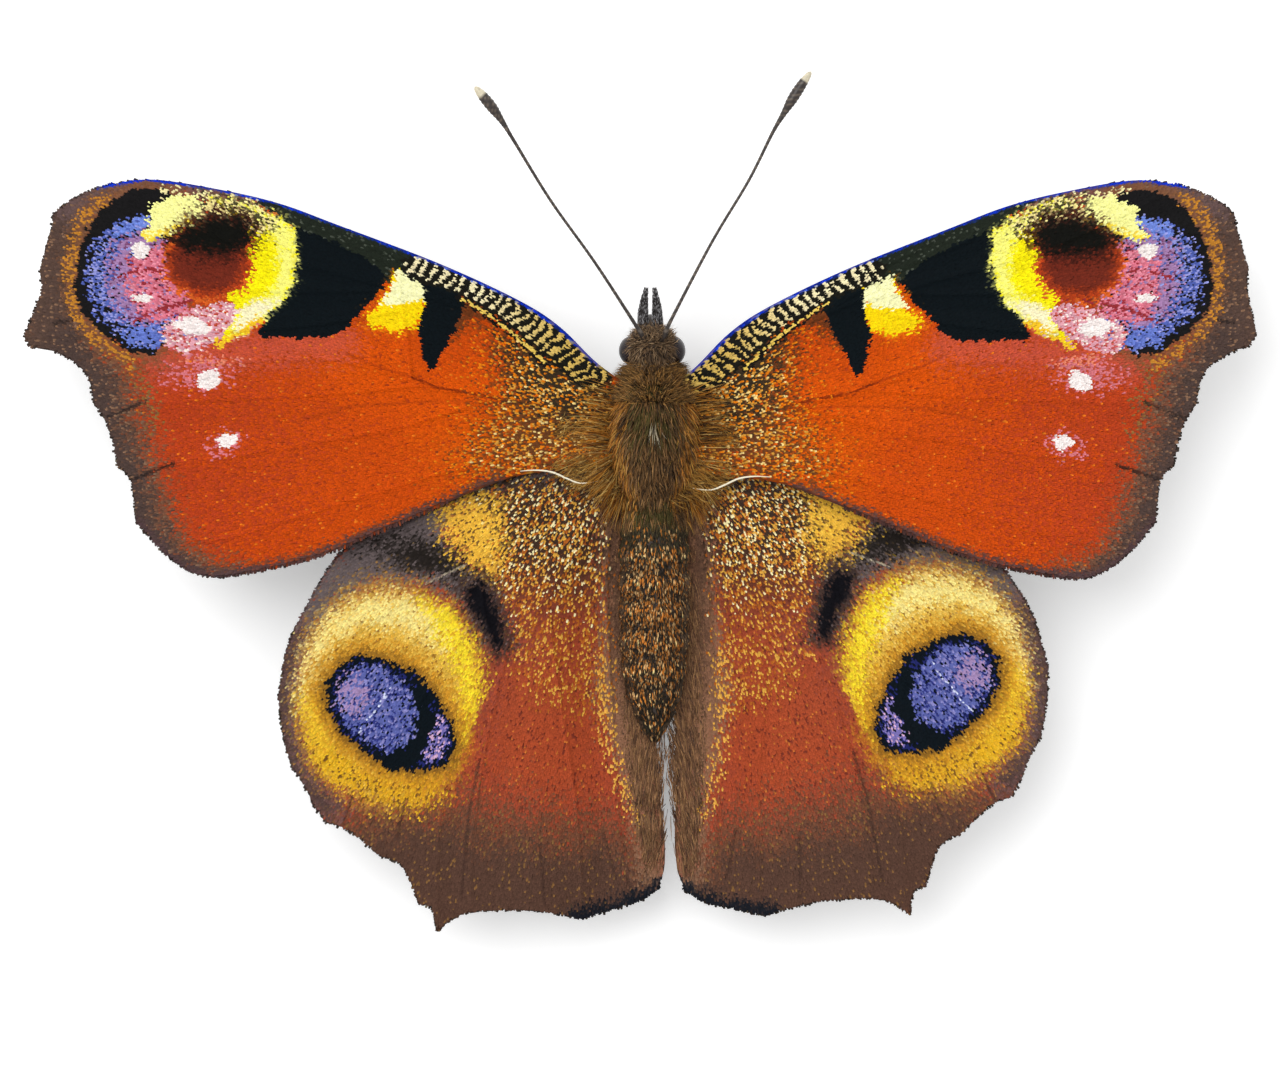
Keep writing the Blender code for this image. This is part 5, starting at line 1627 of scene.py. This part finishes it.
def leg(kind, word, finish):
    """A jointed leg; the mid and hind legs end in a pair of claws."""
    path = LEGS[kind]
    bm = loft(limb_sections(path, SIDES[word], 0.18), 12, pointed=True)
    if kind != "foreleg":
        foot, before = np.array(path[-1]), np.array(path[-2])
        ahead = (foot - before)[:3] / np.linalg.norm((foot - before)[:3])
        beside = np.array([ahead[1], -ahead[0], 0.0])
        for fork in (-1.0, 1.0):
            claw = [(*(foot[:3] + ahead * far + beside * fork * wide), thick)
                    for far, wide, thick in CLAW]
            claw[-1] = (*claw[-1][:2], *CLAW_TIP)
            take_in(bm, loft(limb_sections(claw, SIDES[word], 0.05), 6, pointed=True))
    return bmesh_piece(kind + "_" + word + "_horn", bm, finish, plain(48, 38, 32))


# The two units that every coat repeats, and the seeds of the wings' scales
SCALE_SEEDS = {"forewing": 100, "hindwing": 200}
SCALE = scale_unit()
HAIR = hair_unit()


# Settings

def tint_setting(label, about, colour):
    """A colour that a user may change, as it looks on the screen."""
    return bpy.props.FloatVectorProperty(
        name=label, description=about, subtype="COLOR_GAMMA", size=3, min=0.0, max=1.0,
        default=[part / 255.0 for part in colour],
    )


def size_setting(label, about, millimetres):
    """A length that a user may change, given here in millimetres."""
    return bpy.props.FloatProperty(
        name=label, description=about, default=millimetres * MM, min=0.0,
        subtype="DISTANCE", unit="LENGTH", precision=5,
    )


class WingSizes(bpy.types.PropertyGroup):
    """Sizes of the wings' sheet, veins and scales"""

    membrane: size_setting("Membrane", "Thickness of the wing sheet", 0.06)
    vein_rise: size_setting("Vein rise", "Height of a vein over the upper face", 0.1)
    vein_radius: size_setting("Vein radius", "Radius of a vein at the wing root", 0.11)
    scale_pitch: size_setting("Scale pitch", "Distance between scales in a row", 0.094)
    scale_row: size_setting("Scale rows", "Distance between rows of scales", 0.104)
    fringe_length: size_setting("Fringe", "Length of the loose scales along the edge", 0.3)


class WingTints(bpy.types.PropertyGroup):
    """Main colours of the wings"""

    rust: tint_setting("Rust", "Forewing field", (200, 74, 12))
    red: tint_setting("Red", "Redder outer part of the forewing field", (178, 62, 30))
    margin: tint_setting("Margin", "Brown outer margin", (78, 62, 57))
    black: tint_setting("Black", "Black patches", (13, 20, 24))
    blue: tint_setting("Blue", "Speckles of the forewing eye", (82, 98, 176))
    lilac: tint_setting("Lilac", "Middle of the forewing eye", (164, 126, 172))
    cream: tint_setting("Cream", "Pale rims and patches", (251, 246, 124))
    white: tint_setting("White", "Small white spots", (244, 232, 228))
    maroon: tint_setting("Maroon", "Dark middle of the forewing eye", (112, 42, 28))
    brick: tint_setting("Brick", "Hindwing field", (159, 69, 46))
    eye_blue: tint_setting("Eye blue", "Blue of the hindwing eye", (92, 100, 166))
    bark: tint_setting("Bark", "Ground of the undersides", (46, 39, 35))


class CoatSizes(bpy.types.PropertyGroup):
    """Lengths of the hair"""

    thorax_hair: size_setting("Thorax hair", "Length of the thorax hair", 1.15)
    abdomen_hair: size_setting("Abdomen scales", "Length of the abdomen's scale-hairs", 0.34)
    head_hair: size_setting("Head hair", "Length of the head's hair", 0.45)
    collar_hair: size_setting("Collar hair", "Length of the upright hair behind the head", 0.95)
    shoulder_hair: size_setting("Shoulder tufts", "Length of the golden side tufts", 2.6)


class StageSettings(bpy.types.PropertyGroup):
    """Floor, light and camera"""

    floor: tint_setting("Floor", "Colour of the floor", (252, 252, 252))
    lamp_power: bpy.props.FloatProperty(
        name="Lamp", description="Power of the soft light overhead in watts", default=1.9, min=0.0,
    )
    sky: bpy.props.FloatProperty(
        name="Sky", description="Strength of the even light from all round", default=0.78, min=0.0,
    )
    glow: bpy.props.FloatProperty(
        name="Floor glow", description="Light that the floor itself gives off", default=0.25, min=0.0,
    )
    distance: size_setting("Camera height", "Height of the camera over the floor", 400.0)
    view_width: size_setting("View width", "Width of the picture at the wings", 64.0)


class Tones:
    """The wing tints as numbers from 0 to 255."""

    def __init__(self, group):
        for name in WingTints.__annotations__:
            setattr(self, name, np.array(getattr(group, name)) * 255.0)


# Operators

def stand_in(piece, node):
    """The piece takes the place of its plain solid."""
    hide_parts(node)
    return piece


def dress_wings(kind, context):
    """Membrane, veins and both layers of scales for the two wings of one kind."""
    size, tone = context.scene.wing_sizes, Tones(context.scene.wing_tints)
    upper = powdery_scales(kind + " upper scales")
    lower = powdery_scales(kind + " under scales")
    sheet, rib = wing_membrane(), horn(kind + " veins")
    for word in SIDES:
        name = kind + "_" + word
        made = [
            membrane(name + "_membrane", kind, word, size, sheet, tone),
            vein_ribs(name + "_veins", kind, word, size, rib),
            wing_scales(name + "_scales", kind, word, 0, size, upper, tone),
            wing_scales(name + "_under_scales", kind, word, 1, size, lower, tone),
        ]
        if kind == "forewing":
            made.append(inner_rim(word, size, soft_hair("pale rim")))
        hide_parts(name)


class BUTTERFLY_OT_forewings(bpy.types.Operator):
    """Lay scales over both faces of the two forewings"""
    bl_idname = "butterfly.forewings"
    bl_label = "Forewings"
    bl_options = {"REGISTER", "UNDO"}

    def execute(self, context):
        dress_wings("forewing", context)
        return {"FINISHED"}


class BUTTERFLY_OT_hindwings(bpy.types.Operator):
    """Lay scales over both faces of the two hindwings"""
    bl_idname = "butterfly.hindwings"
    bl_label = "Hindwings"
    bl_options = {"REGISTER", "UNDO"}

    def execute(self, context):
        dress_wings("hindwing", context)
        return {"FINISHED"}


class BUTTERFLY_OT_body(bpy.types.Operator):
    """Make the one skin of the body and its coats of hair"""
    bl_idname = "butterfly.body"
    bl_label = "Body"
    bl_options = {"REGISTER", "UNDO"}

    def execute(self, context):
        size = context.scene.coat_sizes
        body_skin(dark_skin())
        thorax_coat(size, soft_hair("thorax hair"))
        abdomen_coat(size, soft_hair("abdomen scales"))
        collar_hair(size, soft_hair("collar hair"))
        head_coat(size, soft_hair("head hair"))
        silk = soft_hair("golden hair")
        for word in SIDES:
            shoulder_tuft(word, size, silk)
        return {"FINISHED"}


class BUTTERFLY_OT_wing_hair(bpy.types.Operator):
    """Lay long hair over the wing roots and along the hindwings' inner edges"""
    bl_idname = "butterfly.wing_hair"
    bl_label = "Wing hair"
    bl_options = {"REGISTER", "UNDO"}

    def execute(self, context):
        silk = soft_hair("wing hair")
        inner = ((0.3, (128, 92, 66)), (0.35, (158, 116, 82)), (0.2, (188, 142, 96)),
                 (0.15, (96, 70, 56)))
        base = ((0.35, (150, 104, 44)), (0.3, (190, 138, 62)), (0.2, (84, 60, 34)),
                (0.15, (214, 172, 96)))
        for word in SIDES:
            lying_hairs("hindwing_" + word + "_inner_hair", "hindwing", word, HIND_INNER,
                                HAIR_COUNTS["inner"], (0.1, -1.0), 0.14, 1.2, 0.08, inner,
                                silk, 81)
            lying_hairs("forewing_" + word + "_root_hair", "forewing", word, FORE_ROOT,
                                HAIR_COUNTS["root"], (1.0, -0.5), 0.35, 1.2, 0.1, base,
                                silk, 83)
        return {"FINISHED"}


class BUTTERFLY_OT_head_parts(bpy.types.Operator):
    """Make the eyes, feelers, palps and rolled tongue"""
    bl_idname = "butterfly.head_parts"
    bl_label = "Eyes, feelers and mouth"
    bl_options = {"REGISTER", "UNDO"}

    def execute(self, context):
        facets, ringed, grey = faceted_eye(), horn("feeler horn"), soft_hair("palp scales")
        mixture = ((0.4, (84, 80, 80)), (0.3, (52, 48, 48)), (0.3, (188, 186, 188)))
        for word, side in SIDES.items():
            stand_in(eye(word, facets), "eye_" + word)
            stand_in(antenna(word, ringed), "antenna_" + word)
            stand_in(palp(word, grey), "palp_" + word)
            limb_hairs("palp_" + word + "_hair", PALP, side, HAIR_COUNTS["palp"],
                               0.2, 0.035, 0.3, mixture, grey, 91, MOUTH_AXIS)
        stand_in(proboscis(horn("tongue horn")), "proboscis")
        return {"FINISHED"}


class BUTTERFLY_OT_legs(bpy.types.Operator):
    """Make the six legs with their short hair"""
    bl_idname = "butterfly.legs"
    bl_label = "Legs"
    bl_options = {"REGISTER", "UNDO"}

    def execute(self, context):
        dark, brush = horn("leg horn"), soft_hair("leg hair")
        mixture = ((0.5, (58, 46, 38)), (0.3, (92, 76, 58)), (0.2, (40, 34, 30)))
        for word, side in SIDES.items():
            for number, kind in enumerate(LEGS):
                made = stand_in(leg(kind, word, dark), kind + "_" + word)
                count, length, path = HAIR_COUNTS["leg"], 0.2, LEGS[kind][:8]
                if kind == "foreleg":
                    count, length, path = HAIR_COUNTS["foreleg"], 0.34, LEGS[kind]
                limb_hairs(kind + "_" + word + "_hair", path, side, count, length, 0.03,
                                   0.3, mixture, brush, 95 + number)
        return {"FINISHED"}


class BUTTERFLY_OT_stage(bpy.types.Operator):
    """Set up the floor, the soft light and the camera overhead"""
    bl_idname = "butterfly.stage"
    bl_label = "Stage"
    bl_options = {"REGISTER", "UNDO"}

    def execute(self, context):
        scene, stage = context.scene, context.scene.stage_settings
        bm = bmesh.new()
        bmesh.ops.create_grid(bm, x_segments=2, y_segments=2, size=FLOOR_HALF)
        mesh = bpy.data.meshes.new("floor")
        bm.to_mesh(mesh)
        bm.free()
        mesh.materials.append(paper_floor(screen_to_light(stage.floor), stage.glow))
        floor = bpy.data.objects.new("floor", mesh)
        lamp_data = bpy.data.lights.new("soft_light", "AREA")
        lamp_data.shape = "DISK"
        lamp_data.size = LAMP_WIDTH
        lamp_data.energy = stage.lamp_power
        lamp = bpy.data.objects.new("soft_light", lamp_data)
        lamp.location = LAMP_PLACE
        lamp.rotation_euler = (-Vector(LAMP_PLACE)).to_track_quat("-Z", "Y").to_euler()
        camera_data = bpy.data.cameras.new("overhead_camera")
        camera = bpy.data.objects.new("overhead_camera", camera_data)
        camera.location = (0.0, PICTURE_MIDDLE_Y * MM, stage.distance + WING_HEIGHT * MM)
        camera_data.sensor_width = SENSOR_WIDTH
        camera_data.lens = SENSOR_WIDTH * stage.distance / stage.view_width
        camera_data.clip_start, camera_data.clip_end = 0.01, 10.0
        for obj in (floor, lamp, camera):
            scene.collection.objects.link(obj)
        scene.camera = camera
        scene.world = bpy.data.worlds.new("studio")
        scene.world.use_nodes = True
        sky = scene.world.node_tree.nodes["Background"]
        sky.inputs["Color"].default_value = (1.0, 1.0, 1.0, 1.0)
        sky.inputs["Strength"].default_value = stage.sky
        scene.view_settings.view_transform = "Standard"
        return {"FINISHED"}


def screen_to_light(colour):
    """Screen colours as amounts of light."""
    return [part / 12.92 if part <= 0.04045 else ((part + 0.055) / 1.055) ** 2.4
            for part in colour]


class BUTTERFLY_PT_panel(bpy.types.Panel):
    """The settings and the steps in the sidebar"""
    bl_idname = "BUTTERFLY_PT_panel"
    bl_label = "Peacock butterfly"
    bl_space_type = "VIEW_3D"
    bl_region_type = "UI"
    bl_category = "Butterfly"

    def draw(self, context):
        for group in (context.scene.wing_sizes, context.scene.wing_tints,
                      context.scene.coat_sizes, context.scene.stage_settings):
            box = self.layout.box()
            for name in group.__annotations__:
                box.prop(group, name)
        for step in STEPS:
            self.layout.operator(step.bl_idname)


STEPS = (BUTTERFLY_OT_forewings, BUTTERFLY_OT_hindwings, BUTTERFLY_OT_body,
         BUTTERFLY_OT_wing_hair, BUTTERFLY_OT_head_parts, BUTTERFLY_OT_legs,
         BUTTERFLY_OT_stage)
GROUPS = {"wing_sizes": WingSizes, "wing_tints": WingTints, "coat_sizes": CoatSizes,
          "stage_settings": StageSettings}


def register():
    """Add the settings, steps and panel to Blender."""
    for group in GROUPS.values():
        bpy.utils.register_class(group)
    for name, group in GROUPS.items():
        setattr(bpy.types.Scene, name, bpy.props.PointerProperty(type=group))
    for step in STEPS:
        bpy.utils.register_class(step)
    bpy.utils.register_class(BUTTERFLY_PT_panel)


def unregister():
    """Take them away again."""
    bpy.utils.unregister_class(BUTTERFLY_PT_panel)
    for step in reversed(STEPS):
        bpy.utils.unregister_class(step)
    for name, group in GROUPS.items():
        delattr(bpy.types.Scene, name)
        bpy.utils.unregister_class(group)


def main():
    """Run every step."""
    register()
    bpy.ops.butterfly.forewings()
    bpy.ops.butterfly.hindwings()
    bpy.ops.butterfly.body()
    bpy.ops.butterfly.wing_hair()
    bpy.ops.butterfly.head_parts()
    bpy.ops.butterfly.legs()
    bpy.ops.butterfly.stage()


if __name__ == "__main__":
    main()
